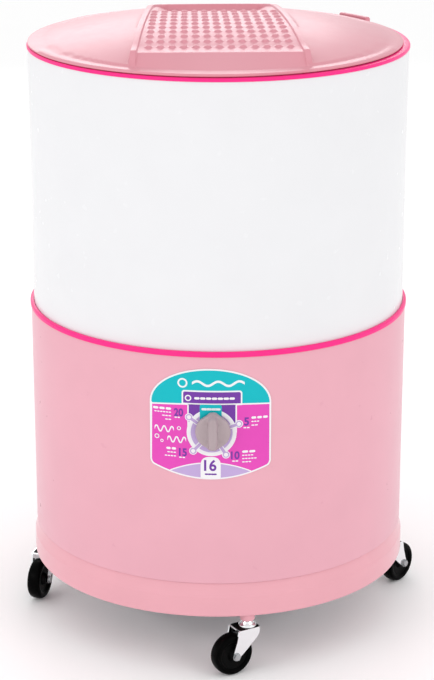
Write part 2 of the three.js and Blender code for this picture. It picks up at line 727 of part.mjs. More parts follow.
const ABOVE = 990; // beyond every surface of the lid
const BELOW = 890;
const HALF_WIDTH = 140;

// The domed skin with its flange and the lip that hangs inside the trim ring.
function lidShell() {
  const top = DOME_STEPS.map((r) => [r, domeZ(r)]).reverse();
  const underside = DOME_STEPS.slice(0, -1).map((r) => [r, domeZ(r) - LID_WALL]);
  return revolve([
    ...underside,
    [DOME_R - 5, LID_FLANGE_BOTTOM + 1],
    [LIP_R - LIP_WALL, LID_FLANGE_BOTTOM],
    [LIP_R - LIP_WALL, LIP_BOTTOM],
    [LIP_R, LIP_BOTTOM],
    [LIP_R, RING_TOP + GAP], // seat that rests on the trim ring
    [283, RING_TOP + GAP],
    [283, LID_FLANGE_BOTTOM],
    [LID_R, LID_FLANGE_BOTTOM],
    [LID_R, LID_FLANGE_TOP - 1.2],
    [LID_R - 1.2, LID_FLANGE_TOP],
    [DOME_R + 2, LID_FLANGE_TOP],
    ...top,
  ]);
}

// The rails and the bar that joins them behind the soap tray.
function boardFrame() {
  const outer = prism(boardPlan(RAIL, SLOPE_FRONT, BOARD_BACK), BELOW, ABOVE);
  const inner = prism(boardPlan(0, SLOPE_FRONT - 5, TRAY[1]), BELOW, ABOVE);
  const top = prismX([...boardProfile(RAIL_PROUD), [BOARD_BACK, BELOW], [SLOPE_FRONT, BELOW]],
    -HALF_WIDTH, HALF_WIDTH);
  const hollow = revolve([
    ...DOME_STEPS.slice(0, -1).map((r) => [r, domeZ(r) - LID_WALL]),
    [DOME_R, LID_FLANGE_TOP - 2], [FRAME_R + 5, LID_FLANGE_TOP - 2], [FRAME_R + 5, BELOW], [0, BELOW],
  ]);
  return cut(outer.intersect(top).intersect(rod(FRAME_R, BELOW, ABOVE, ROUND)), inner, hollow);
}

// The washboard and its front slope, as a sheet that is flat from side to side.
function boardSheet() {
  const sheet = prismX([...boardProfile(0), ...boardProfile(-LID_WALL).reverse()], -HALF_WIDTH, HALF_WIDTH);
  const plan = prism(boardPlan(0.5, SLOPE_FRONT, TRAY[1] + 1), BELOW, ABOVE);
  return sheet.intersect(plan).intersect(rod(DOME_R + 1, BELOW, ABOVE, ROUND));
}

// The soap tray's hollow and the box round it. Its ends slope.
function trayBlock(outside, bottom, top) {
  const flare = (top - bottom) * 1.84;
  const half = TRAY_HALF + outside;
  return prismY([[-half, bottom], [half, bottom], [half + flare, top], [-half - flare, top]],
    TRAY[0] - outside, TRAY[1] + outside);
}

function lid() {
  const opening = prism(boardPlan(0, SLOPE_FRONT, TRAY[1]), BELOW, ABOVE)
    .intersect(rod(DOME_R - 6, BELOW, ABOVE, ROUND));
  const underBoard = prismX([...boardProfile(-0.5), [BOARD_BACK, BELOW], [SLOPE_FRONT, BELOW]],
    -HALF_WIDTH, HALF_WIDTH);
  const trayBox = trayBlock(LID_WALL, TRAY_FLOOR - LID_WALL, 953).intersect(underBoard)
    .intersect(prism(boardPlan(RAIL / 2, TRAY[0] - 10, BOARD_BACK), BELOW, ABOVE));
  const trayHollow = trayBlock(0, TRAY_FLOOR, 956).intersect(prism(boardPlan(0, ...TRAY), BELOW, ABOVE));
  const body = cut(join(cut(lidShell(), opening), boardSheet(), boardFrame(), trayBox), trayHollow);
  return place(turn(body, AXIS_Z, LID_TURN), LID_X, 0, 0);
}

// ---------------------------------------------------------------- assembly

add("upper_cabinet", upperCabinet(), WHITE_ENAMEL);
add("lower_cabinet", lowerCabinet(), PINK);
add("mid_trim_band", midTrimBand(), HOT_PINK);
add("top_trim_ring", topTrimRing(), HOT_PINK);
add("rear_cover", rearCover(), PINK);
SCREW_SPOTS.forEach((spot, i) => add(`rear_cover_screw_${i + 1}`, coverScrew(spot), STEEL));

add("base_ring", baseRing(), PINK);
add("base_pan", basePan(), STEEL);
addCasters();

add("wash_tub", washTub(), WHITE_PLASTIC);
add("drain_strainer", drainStrainer(), GREY);
add("drive_crossbrace", driveCrossbrace(), STEEL);
add("bearing_housing", bearingHousing(), CAST);
add("shaft_seal", shaftSeal(), RUBBER);
add("agitator", agitator(), LID_PINK);
add("agitator_cap", agitatorCap(), HOT_PINK);
add("agitator_shaft", agitatorShaft(), STEEL);

add("gearbox_case", gearboxCase(), CAST);
add("gearbox_input_shaft", inputShaft(), STEEL);
add("gearbox_pulley", gearboxPulley(), CAST);
add("drive_belt", driveBelt(), RUBBER);
add("motor_pulley", motorPulley(), CAST);
add("motor_shaft", motorShaft(), STEEL);
add("motor_housing", motorHousing(), COPPER_GREY);
add("motor_bracket", motorBracket(), STEEL);
PAD_ANGLES.forEach((angle, i) => add(`motor_pad_${i + 1}`, motorPad(angle), RUBBER));
add("run_capacitor", runCapacitor(), WHITE_PLASTIC);

add("control_panel", controlPanel(), PANEL);
add("timer_housing", timerHousing(), BLACK);
add("timer_shaft", timerShaft(), STEEL);
add("timer_nut", timerNut(), STEEL);
add("timer_knob", timerKnob(), GREY);
add("timer_harness", timerHarness(), BLACK);

add("drain_elbow", drainElbow(), WHITE_PLASTIC);
add("drain_hose", drainHose(), GREY);
add("drain_spout", drainSpout(), GREY);
add("power_cord_gland", cordGland(), BLACK);
add("hose_holder", hoseHolder(), LID_PINK);
add("lid", lid(), LID_PINK);

export default root;
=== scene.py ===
"""Looks of a round-tub washing machine on casters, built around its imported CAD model.

Helpers take millimetres and angles in degrees; everything handed to Blender is in metres.
"""

import json
import math

import bmesh
import bpy
import numpy as np
from mathutils import Matrix, Vector


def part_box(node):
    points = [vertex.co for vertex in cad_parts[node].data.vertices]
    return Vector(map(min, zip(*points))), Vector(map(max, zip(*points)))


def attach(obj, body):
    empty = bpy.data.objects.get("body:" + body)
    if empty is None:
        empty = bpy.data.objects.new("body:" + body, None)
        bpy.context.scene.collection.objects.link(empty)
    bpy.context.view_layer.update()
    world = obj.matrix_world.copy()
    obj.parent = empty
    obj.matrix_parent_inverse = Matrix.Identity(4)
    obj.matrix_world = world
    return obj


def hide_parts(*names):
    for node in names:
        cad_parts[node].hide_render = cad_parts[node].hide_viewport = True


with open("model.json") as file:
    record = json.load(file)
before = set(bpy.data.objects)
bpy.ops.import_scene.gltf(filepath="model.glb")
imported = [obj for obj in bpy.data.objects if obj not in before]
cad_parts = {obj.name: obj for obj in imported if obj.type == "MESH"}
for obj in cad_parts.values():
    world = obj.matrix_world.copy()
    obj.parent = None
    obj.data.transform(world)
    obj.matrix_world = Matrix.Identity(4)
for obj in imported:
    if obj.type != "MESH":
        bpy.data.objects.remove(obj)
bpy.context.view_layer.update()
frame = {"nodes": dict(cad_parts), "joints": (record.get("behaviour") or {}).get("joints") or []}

MM = 0.001
ROUND = 256  # segments of the large round shells
SMALL = 48  # segments of bolts, sockets and tubes
CREASE = 32  # an edge that turns by more degrees than this is shaded sharp
JOINTS = {j["name"]: j for j in frame["joints"]}


def box(node):
    """Lowest and highest corner of a CAD node, in millimetres."""
    lo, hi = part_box(node)
    return np.array(lo) / MM, np.array(hi) / MM


def added(name, data):
    """A new object in the scene."""
    ob = bpy.data.objects.new(name, data)
    bpy.context.scene.collection.objects.link(ob)
    return ob


# ------------------------------------------------------------------ camera


def make_camera():
    data = bpy.data.cameras.new("camera")
    data.lens, data.sensor_width = 115.29, 36.0
    cam = added("camera", data)
    cam.location = (0.1128, -3.2886, 1.5269)
    cam.rotation_euler = (math.radians(71.692), 0.0, math.radians(2.0))
    bpy.context.scene.camera = cam


make_camera()

# ------------------------------------------------------------------ materials


def linear(rgb):
    """A colour given as 0-255 display values, as linear light."""
    return [((c / 255 + 0.055) / 1.055) ** 2.4 if c > 10 else c / 3294.6 for c in rgb]


def material(
    name, rgb, rough, metallic=0.0, coat=0.0, mottle=0.03, patch=14.0, rough_spread=0.06,
    grain=0.0, grain_scale=900.0, grain_depth=0.00003, stretch=(1, 1, 1), specular=0.5,
):
    """A node material with broad tone variation, uneven gloss and a fine grain, all by object position.

    mottle and rough_spread say how far colour and roughness wander, with about patch waves to a metre.
    grain is the strength of a bump with grain_scale waves to a metre, grain_depth metres deep.
    """
    mat = bpy.data.materials.new(name)
    mat.use_nodes = True
    tree = mat.node_tree
    new, wire = tree.nodes.new, tree.links.new
    shader = tree.nodes["Principled BSDF"]
    shader.inputs["Metallic"].default_value = metallic
    shader.inputs["Coat Weight"].default_value = coat
    shader.inputs["Coat Roughness"].default_value = 0.08
    shader.inputs["Specular IOR Level"].default_value = specular

    place = new("ShaderNodeTexCoord")
    mapping = new("ShaderNodeMapping")
    mapping.inputs["Scale"].default_value = stretch
    wire(place.outputs["Object"], mapping.inputs["Vector"])

    def noise(scale, detail):
        node = new("ShaderNodeTexNoise")
        node.inputs["Scale"].default_value = scale
        node.inputs["Detail"].default_value = detail
        wire(mapping.outputs["Vector"], node.inputs["Vector"])
        return node.outputs["Fac"]

    base = np.array(linear(rgb))
    ramp = new("ShaderNodeValToRGB")
    ramp.color_ramp.elements[0].position, ramp.color_ramp.elements[1].position = 0.3, 0.7
    ramp.color_ramp.elements[0].color = (*np.clip(base * (1 - mottle), 0, 1), 1)
    ramp.color_ramp.elements[1].color = (*np.clip(base * (1 + mottle), 0, 1), 1)
    wire(noise(patch, 3.0), ramp.inputs["Fac"])
    wire(ramp.outputs["Color"], shader.inputs["Base Color"])

    gloss = new("ShaderNodeMapRange")
    gloss.inputs["To Min"].default_value = max(0.02, rough - rough_spread)
    gloss.inputs["To Max"].default_value = min(1.0, rough + rough_spread)
    wire(noise(patch * 4, 4.0), gloss.inputs["Value"])
    wire(gloss.outputs["Result"], shader.inputs["Roughness"])

    if grain:
        bump = new("ShaderNodeBump")
        bump.inputs["Strength"].default_value = grain
        bump.inputs["Distance"].default_value = grain_depth
        wire(noise(grain_scale, 2.0), bump.inputs["Height"])
        wire(bump.outputs["Normal"], shader.inputs["Normal"])
    return mat


PAINT = {"mottle": 0.015, "grain": 0.25, "grain_scale": 260, "grain_depth": 0.00004, "specular": 0.2}
INK = {"mottle": 0.02, "grain": 0.3, "grain_scale": 1500, "specular": 0.2}
BLACK = {"mottle": 0.2, "patch": 60}

ENAMEL = material("white_enamel", (226, 226, 228), 0.25, **PAINT | {"mottle": 0.008})
PINK = material("pink_enamel", (224, 166, 179), 0.3, **PAINT)
BASE_PINK = material(
    "pink_base_plastic", (225, 162, 173), 0.3, coat=0.4, mottle=0.015, grain=0.15, grain_scale=1400,
    specular=0.2,
)
LID_PINK = material(
    "pink_lid_plastic", (216, 146, 158), 0.34, mottle=0.015, grain=0.4, grain_scale=1400, specular=0.32,
)
SOFT_PINK = material("pink_inner_plastic", (240, 180, 192), 0.42, mottle=0.02, grain=0.6, grain_scale=1200)
HOT_PINK = material("hot_pink_trim", (246, 44, 132), 0.3, mottle=0.02, grain=0.3, specular=0.2)
TUB_WHITE = material("white_tub_plastic", (236, 238, 240), 0.42, mottle=0.015, grain=0.6, grain_scale=1100)
GREY_PLASTIC = material("grey_hose_plastic", (168, 169, 172), 0.5, grain=0.6)
KNOB_GREY = material("warm_grey_plastic", (168, 151, 155), 0.4, patch=40, grain=0.8, grain_scale=1700)
BLACK_GLOSS = material("black_wheel_plastic", (2, 2, 2), 0.34, grain=0.3, specular=0.03, **BLACK)
BLACK_SATIN = material(
    "black_satin_plastic", (5, 5, 5), 0.45, grain=0.8, grain_scale=1500, specular=0.06, **BLACK,
)
RUBBER = material(
    "black_rubber", (38, 38, 39), 0.75, mottle=0.25, patch=60, rough_spread=0.1, grain=1.0, grain_scale=1300,
)
CHROME = material(
    "plated_steel", (236, 238, 240), 0.1, metallic=1, mottle=0.02, patch=50, rough_spread=0.04,
    grain=0.2, grain_scale=700,
)
ZINC = material(
    "zinc_plated_steel", (172, 174, 176), 0.36, metallic=1, mottle=0.1, patch=70, rough_spread=0.1,
    grain=0.5, grain_scale=1200,
)
GALVANISED = material(
    "galvanised_sheet", (178, 181, 184), 0.42, metallic=1, mottle=0.14, patch=45, rough_spread=0.12,
    grain=0.4, grain_scale=800,
)
CAST = material(
    "cast_aluminium", (146, 148, 151), 0.6, metallic=1, mottle=0.12, patch=50, rough_spread=0.12,
    grain=1.0, grain_scale=1100, grain_depth=0.00012,
)
MOTOR_GREY = material("motor_paint", (92, 98, 104), 0.5, mottle=0.08, patch=50, grain=0.8)
BRUSHED = material(
    "turned_steel", (190, 192, 194), 0.28, metallic=1, mottle=0.06, patch=120, grain=0.8, grain_scale=1500,
    stretch=(0.2, 0.2, 3),
)
PRINT_WHITE = material("print_white", (232, 231, 233), 0.4, **INK | {"mottle": 0.006})
PRINT_TEAL = material("print_teal", (6, 178, 187), 0.36, **INK)
PRINT_MAGENTA = material("print_magenta", (220, 74, 178), 0.36, **INK)
PRINT_PURPLE = material("print_purple", (112, 58, 156), 0.36, **INK | {"mottle": 0.03})
PRINT_LILAC = material("print_lilac", (186, 162, 208), 0.36, **INK)
FLOOR = material(
    "studio_floor", (253, 253, 253), 0.85, mottle=0.004, patch=0.7, rough_spread=0.05, grain=0.3,
    grain_scale=60,
)

# ------------------------------------------------------------------ mesh helpers


def shade(mesh, crease=CREASE):
    """Shades smooth, except at sharp edges."""
    mesh.polygons.foreach_set("use_smooth", [True] * len(mesh.polygons))
    mesh.set_sharp_from_angle(angle=math.radians(crease))


def tidy(mesh, crease=CREASE):
    """Joins doubled points, turns faces outwards, and shades the mesh."""
    bm = bmesh.new()
    bm.from_mesh(mesh)
    bmesh.ops.remove_doubles(bm, verts=bm.verts, dist=1e-7)
    bmesh.ops.recalc_face_normals(bm, faces=bm.faces)
    bm.to_mesh(mesh)
    bm.free()
    shade(mesh, crease)
    mesh.update()


def piece(name, points, faces, look, crease=CREASE, at=None):
    """A new mesh object from points in millimetres."""
    mesh = bpy.data.meshes.new(name)
    mesh.from_pydata([tuple(p) for p in np.asarray(points, float) * MM], [], faces)
    tidy(mesh, crease)
    ob = added(name, mesh)
    if look is not None:
        mesh.materials.append(look)
    if at is not None:
        mesh.transform(at)
    return ob


def moved(x=0.0, y=0.0, z=0.0, turn=0.0, tilt=0.0):
    """Tilt about X, then turn about Z, then a shift in millimetres."""
    return (
        Matrix.Translation(Vector((x, y, z)) * MM)
        @ Matrix.Rotation(math.radians(turn), 4, "Z")
        @ Matrix.Rotation(math.radians(tilt), 4, "X")
    )


def rounded(points, radius, steps=4):
    """A closed outline with its corners rounded. radius is one number, or one for each corner."""
    radii = radius if hasattr(radius, "__len__") else [radius] * len(points)
    out = []
    for i, p in enumerate(points):
        p = np.array(p, float)
        a = np.array(points[i - 1], float) - p
        b = np.array(points[(i + 1) % len(points)], float) - p
        la, lb = np.linalg.norm(a), np.linalg.norm(b)
        cos = float(np.clip(a @ b / (la * lb), -1, 1))
        half = math.acos(cos) / 2
        if radii[i] <= 0 or half > math.radians(89):
            out.append(tuple(p))
            continue
        reach = min(radii[i] / math.tan(half), 0.46 * la, 0.46 * lb)
        start, end = p + a / la * reach, p + b / lb * reach
        for k in range(steps + 1):
            t = k / steps
            out.append(tuple((1 - t) ** 2 * start + 2 * t * (1 - t) * p + t * t * end))
    return out


def bands(count, n, rows=None):
    """Quads for a number of bands between rows of n points, each row a loop. The band after the last of the
    rows comes back to the first."""
    rows = rows or count + 1
    return [
        (i * n + j, i * n + (j + 1) % n, (i + 1) % rows * n + (j + 1) % n, (i + 1) % rows * n + j)
        for i in range(count)
        for j in range(n)
    ]


def turned(outline, angles):
    """An outline of (radius, height) points at each of the angles about Z, in radians."""
    return [(r * math.cos(a), r * math.sin(a), z) for a in angles for r, z in outline]


def lathe(name, outline, look, segments=SMALL, crease=CREASE, at=None):
    """A closed outline of (radius, height) points turned about Z."""
    points = turned(outline, np.linspace(0, 2 * math.pi, segments, endpoint=False))
    return piece(name, points, bands(segments, len(outline), segments), look, crease, at)


def loft(name, rings, look, crease=CREASE):
    """Rings of the same number of points, joined in turn and closed at both ends."""
    n = len(rings[0])
    points = [p for ring in rings for p in ring]
    last = (len(rings) - 1) * n
    ends = [tuple(range(n))[::-1], tuple(range(last, last + n))]
    return piece(name, points, bands(len(rings) - 1, n) + ends, look, crease)


def sweep(name, outline, start, end, steps, look):
    """A closed outline of (radius, height) points carried part of the way round Z, with flat ends."""
    n = len(outline)
    points = turned(outline, np.radians(np.linspace(start, end, steps + 1)))
    ends = [tuple(range(n)), tuple(range(steps * n, (steps + 1) * n))[::-1]]
    return piece(name, points, bands(steps, n) + ends, look)


def slab(name, outline, z0, z1, look, at=None):
    """A closed outline of (x, y) points extruded from z0 to z1."""
    n = len(outline)
    points = [(x, y, z) for z in (z0, z1) for x, y in outline]
    faces = [(i, (i + 1) % n, n + (i + 1) % n, n + i) for i in range(n)]
    faces += [tuple(range(n))[::-1], tuple(range(n, 2 * n))]
    return piece(name, points, faces, look, at=at)


def tool(outline, z0, z1, at=None):
    """A slab for cutting with."""
    return slab("tool", outline, z0, z1, None, at)


def carve(ob, tools, operation="DIFFERENCE"):
    """Cuts the tools from a piece, or joins them to it, for good."""
    for cutter in tools:
        modifier = ob.modifiers.new("carve", "BOOLEAN")
        modifier.operation, modifier.object, modifier.solver = operation, cutter, "EXACT"
    graph = bpy.context.evaluated_depsgraph_get()
    result = bpy.data.meshes.new_from_object(ob.evaluated_get(graph))
    ob.modifiers.clear()
    looks = list(ob.data.materials)
    ob.data = result
    result.materials.clear()
    for look in looks:
        result.materials.append(look)
    for cutter in tools:
        bpy.data.objects.remove(cutter)
    tidy(result)
    return ob


def bevel(ob, width, segments=2):
    """Rounds a piece's edges, wherever they turn by more than 35 degrees."""
    modifier = ob.modifiers.new("soft_edges", "BEVEL")
    modifier.width, modifier.segments = width * MM, segments
    modifier.limit_method, modifier.angle_limit = "ANGLE", math.radians(35)
    modifier.harden_normals = False
    return ob


def join(first, *others):
    """Several meshes with one look as the islands of one piece."""
    bm = bmesh.new()
    for ob in (first, *others):
        bm.from_mesh(ob.data)
    bm.to_mesh(first.data)
    bm.free()
    for ob in others:
        bpy.data.objects.remove(ob)
    shade(first.data)
    return first


def belongs(ob, body, slot, *nodes):
    """Puts a piece on a CAD body and lets it stand for CAD nodes. slot, the finish's name, is not used."""
    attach(ob, body)
    if nodes:
        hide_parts(*nodes)
    return ob


def circle(radius, count=64, x=0.0, y=0.0):
    angles = np.linspace(0, 2 * math.pi, count, endpoint=False)
    return [(x + radius * math.cos(a), y + radius * math.sin(a)) for a in angles]


def rectangle(x0, y0, x1, y1):
    return [(x0, y0), (x1, y0), (x1, y1), (x0, y1)]


# ------------------------------------------------------------------ cabinet shells

lower_lo, lower_hi = box("lower_cabinet")
upper_lo, upper_hi = box("upper_cabinet")
band_lo, band_hi = box("mid_trim_band")
ring_lo, ring_hi = box("top_trim_ring")
base_lo, base_hi = box("base_ring")
R_LOWER, R_UPPER, R_BAND, R_RING, R_BASE = (hi[0] for hi in (lower_hi, upper_hi, band_hi, ring_hi, base_hi))
SHEET = 1.6  # thickness of both shells
DATUM = lower_lo[2] - 146.5  # how far the casters lift the body, whose lower shell starts 146.5 above it
WALL_FRONT, WALL_BACK = (250, 320), (-320, -250)  # reach of a tool tilted by 90 degrees, through one side
knob_lo, knob_hi = box("timer_knob")
KNOB_X, KNOB_Z = (knob_lo[0] + knob_hi[0]) / 2, (knob_lo[2] + knob_hi[2]) / 2
spout_lo, spout_hi = box("drain_spout")
SPOUT_Z = (spout_lo[2] + spout_hi[2]) / 2
gland_lo, gland_hi = box("power_cord_gland")
GLAND_Z = (gland_lo[2] + gland_hi[2]) / 2
cover_lo, cover_hi = box("rear_cover")


def sheet_wall(name, radius, z0, z1, look):
    """A round wall of sheet metal with softened edges."""
    outline = [(radius - SHEET, z0), (radius, z0), (radius, z1), (radius - SHEET, z1)]
    return lathe(name, rounded(outline, 0.5, 3), look, ROUND)


def upper_shell():
    return sheet_wall("upper_shell", R_UPPER, upper_lo[2], upper_hi[2], ENAMEL)


def lower_shell():
    """Wall with holes behind for the drive's opening, the spout and the gland, and in front for the timer."""
    ob = sheet_wall("lower_shell", R_LOWER, lower_lo[2], lower_hi[2], PINK)
    opening = rounded(rectangle(-100, cover_lo[2] + 15, 100, cover_hi[2] - 15), 12, 6)
    return carve(ob, [
        tool(opening, *WALL_BACK, at=moved(tilt=90)),
        tool(circle(15.5, 40), *WALL_BACK, at=moved(0, 0, SPOUT_Z, tilt=90)),
        tool(circle(7.5, 40), *WALL_BACK, at=moved(0, 0, GLAND_Z, tilt=90)),
        tool(circle(6, 40), *WALL_FRONT, at=moved(KNOB_X, 0, KNOB_Z, tilt=90)),
    ])


def trim_band():
    """Band over the joint of the shells, with a flange between them."""
    z0, z1, skin = band_lo[2], band_hi[2], 0.4
    outline = [
        (R_LOWER + skin, z0), (R_BAND - 0.5, z0), (R_BAND, z0 + 1.4), (R_BAND, z1 - 2.4),
        (R_BAND - 1.2, z1 - 0.5), (R_UPPER + skin + 1.5, z1), (R_UPPER + skin, z1), (R_UPPER + skin, z0 + 4.4),
        (R_UPPER - 2.4, z0 + 4.4), (R_UPPER - 2.4, z0 + 3.3), (R_LOWER + skin, z0 + 3.3),
    ]
    return lathe("trim_band", rounded(outline, 0.5, 2), HOT_PINK, ROUND)


def rim_ring():
    """Ring that hooks over the tub's rim and down inside it."""
    z0, z1 = ring_lo[2], ring_hi[2]
    bottom = z1 - 4.9
    outline = [
        (R_RING - 1, bottom), (R_RING - 0.3, bottom), (R_RING, bottom + 1), (R_RING, z1 - 1.6),
        (R_RING - 1.6, z1), (278.4, z1), (277.6, z1 - 1), (277.6, z0), (279.4, z0), (279.4, z1 - 1.5),
        (R_RING - 1, z1 - 1.5),
    ]
    return lathe("rim_ring", rounded(outline, 0.7, 3), HOT_PINK, ROUND)


belongs(upper_shell(), "cabinet", "white_enamel", "upper_cabinet")
belongs(lower_shell(), "cabinet", "pink_shell", "lower_cabinet")
belongs(trim_band(), "cabinet", "hot_pink", "mid_trim_band")
belongs(rim_ring(), "cabinet", "hot_pink", "top_trim_ring")

# ------------------------------------------------------------------ shapes bent round the lower cabinet


def wrapped(name, bm, inner, outer, look, side=-1, step=5.0):
    """Slices flat faces at y = 0 into strips, thickens them, and bends them round Z between two radii."""
    x, end = math.floor(min(v.co.x for v in bm.verts) / step) * step, max(v.co.x for v in bm.verts)
    while x < end:
        parts = [*bm.verts, *bm.edges, *bm.faces]
        bmesh.ops.bisect_plane(bm, geom=parts, dist=1e-5, plane_co=(x, 0, 0), plane_no=(1, 0, 0))
        x += step
    bmesh.ops.recalc_face_normals(bm, faces=bm.faces)
    grown = bmesh.ops.extrude_face_region(bm, geom=list(bm.faces))
    raised = {g for g in grown["geom"] if isinstance(g, bmesh.types.BMVert)}
    for v in bm.verts:
        radius = outer if v in raised else inner
        v.co = (v.co.x, side * math.sqrt(radius**2 - v.co.x**2), v.co.z)
    bmesh.ops.recalc_face_normals(bm, faces=bm.faces)
    mesh = bpy.data.meshes.new(name)
    bm.to_mesh(mesh)
    bm.free()
    mesh.transform(Matrix.Scale(MM, 4))
    mesh.materials.append(look)
    ob = added(name, mesh)
    return ob


def bent(name, outlines, inner, outer, look, side=-1, holes=()):
    """Flat outlines of (x, z) points bent round Z, each one a closed island.

    side is -1 for the front and +1 for the rear. holes holds pairs of an outline and the hole inside it.
    """
    bm = bmesh.new()
    for outline in outlines:
        bm.faces.new([bm.verts.new((x, 0, z)) for x, z in outline])
    for outline, hole in holes:
        around = [bm.verts.new((x, 0, z)) for x, z in outline]
        within = [bm.verts.new((x, 0, z)) for x, z in hole]
        for i in range(len(around)):
            k = (i + 1) % len(around)
            bm.faces.new((around[i], around[k], within[k], within[i]))
    bmesh.ops.triangulate(bm, faces=bm.faces)
    ob = wrapped(name, bm, inner, outer, look, side)
    shade(ob.data)
    return ob


LOUVRE_ARC = 10.6  # half the angle that a louvre's hood spans, in degrees


def service_cover():
    """Bent steel cover with four pressed louvres."""
    z0, z1, half = cover_lo[2], cover_hi[2], cover_hi[0]
    inner = R_LOWER + 0.4
    outer = inner + 1.4
    outline = rounded(rectangle(-half, z0, half, z1), 14, 6)
    plate = bent("service_cover", [outline], inner, outer, PINK, side=1)
    slots, hoods = [], []
    for k in range(4):
        z = z0 + 55 + 20 * k
        slots.append(tool(rounded(rectangle(-55, z, 55, z + 6), 2.9, 4), *WALL_BACK, at=moved(tilt=90)))
        lip = [
            (inner + 0.2, z + 9), (outer, z + 9), (outer + 1.6, z + 7.6), (outer + 2.8, z + 4.6),
            (outer + 3.2, z + 1.2), (outer + 2.2, z + 1.2), (outer + 1.8, z + 4.2), (outer + 0.8, z + 6.4),
            (inner + 0.2, z + 7.4),
        ]
        hoods.append(sweep("hood", lip, 90 - LOUVRE_ARC, 90 + LOUVRE_ARC, 40, PINK))
    carve(plate, slots)
    return join(plate, *hoods)


belongs(service_cover(), "cabinet", "pink_shell", "rear_cover")


def cover_screw(index):
    """Pan-head screw with a cross recess."""
    node = f"rear_cover_screw_{index}"
    lo, hi = box(node)
    middle = (lo + hi) / 2
    azimuth = math.degrees(math.asin(middle[0] / (R_LOWER + 2)))
    seat = R_LOWER + 1.8
    outline = [
        (0, -9), (1.2, -9), (1.9, -8), (1.9, 0.2), (4.7, 0.2), (4.7, 0.9), (4.0, 2.0), (2.6, 2.7), (0, 2.9),
    ]
    screw = lathe(f"cover_screw_{index}", outline, ZINC, 32)
    carve(screw, [tool(rectangle(-a, -b, a, b), 1.4, 4) for a, b in ((2.6, 0.45), (0.45, 2.6))])
    turn = Matrix.Rotation(math.radians(-azimuth), 4, "Z")
    screw.data.transform(turn @ moved(0, seat, middle[2], tilt=-90))
    belongs(screw, "cabinet", "steel", node)


for i in range(1, 5):
    cover_screw(i)

# ------------------------------------------------------------------ base

BASE_CREASE = DATUM + 124.3  # where the skirt's shoulder turns upright
SKIRT_BOTTOM = DATUM + 93
PAN_SLOTS_R = 190  # the circle that the base pan's slots lie on


def base_skirt():
    """Skirt with a flange turned in below and a shoulder that draws in to the lower shell."""
    top = base_hi[2]
    outline = [
        (258, SKIRT_BOTTOM + 3), (R_BASE - 6, SKIRT_BOTTOM + 3), (R_BASE - 3, SKIRT_BOTTOM),
        (R_BASE - 0.6, SKIRT_BOTTOM), (R_BASE, SKIRT_BOTTOM + 2), (R_BASE - 0.5, BASE_CREASE),
        (R_BASE - 1.7, BASE_CREASE + 3.2), (R_LOWER - 0.4, BASE_CREASE + 13), (R_LOWER - 2, top),
        (R_LOWER - 5, top), (R_BASE - 5, BASE_CREASE + 1), (R_BASE - 3.4, SKIRT_BOTTOM + 6.4),
        (258, SKIRT_BOTTOM + 6.4),
    ]
    radii = [0.8, 2, 1.2, 1.2, 1, 1.2, 1.6, 8, 0.8, 1, 3, 2, 0.8]
    return lathe("base_skirt", rounded(outline, radii, 4), BASE_PINK, ROUND, crease=40)


def base_pan():
    """Pressed pan, raised in the middle and grooved, with pairs of slots."""
    lo, hi = box("base_pan")
    z0, z1, r = lo[2], hi[2], hi[0] * math.cos(math.pi / 20)
    thick = 1.8
    outline = [
        (0, z1 - thick), (116, z1 - thick), (126, z0), (178, z0), (181, z0 + 2), (199, z0 + 2), (202, z0),
        (r, z0), (r, z0 + thick), (201, z0 + thick), (198, z0 + thick + 2), (182, z0 + thick + 2),
        (179, z0 + thick), (127, z0 + thick), (117, z1), (0, z1),
    ]
    pan = lathe("base_pan_plate", rounded(outline, 1.5, 2), GALVANISED, ROUND // 2)
    slot = rounded(rectangle(-30, -5, 30, 5), 4.9, 5)
    turns = [Matrix.Rotation(math.radians(a + s), 4, "Z") for a in (45, 135, 225, 315) for s in (-12, 12)]
    return carve(pan, [tool(slot, z0 - 5, z1 + 10, at=turn @ moved(0, PAN_SLOTS_R, 0)) for turn in turns])


belongs(base_skirt(), "cabinet", "pink_shell", "base_ring")
belongs(base_pan(), "cabinet", "steel", "base_pan")

# ------------------------------------------------------------------ casters

FORK_TOP = 74.0
WHEEL_R = box("front_caster_wheel")[1][2] / 2
TRAIL = 28.0  # from the swivel's axis to the axle
FORK_GAP, FORK_PLATE = 13.0, 2.4  # half the space between the legs, and their thickness


def leg_outline():
    """Side view of a fork leg: wide at the top, drawn in to a round boss at the axle."""
    around = np.radians(np.linspace(222, 385, 14))
    boss = [(TRAIL + 6 * math.cos(a), WHEEL_R + 6 * math.sin(a)) for a in around]
    top = [(26.5, 57), (23.6, FORK_TOP - 2), (22, FORK_TOP)]
    top += [(-11, FORK_TOP), (-13, FORK_TOP - 2.5), (-12.4, 64)]
    sweep_in = [(-8, 57.5), (0, 50), (9, 41.5), (17, 34.5)]
    return boss + top + sweep_in


def head_outline(inset=0.0):
    """Plan of the fork's top plate, with its rear corners cut off."""
    x0, x1, half = -15 + 1.4 * inset, 23 - 1.4 * inset, FORK_GAP + FORK_PLATE - inset
    return [
        (x0, -half + 3 + 0.2 * inset), (x0 + 4, -half), (x1, -half), (x1, half), (x0 + 4, half),
        (x0, half - 3 - 0.2 * inset),
    ]


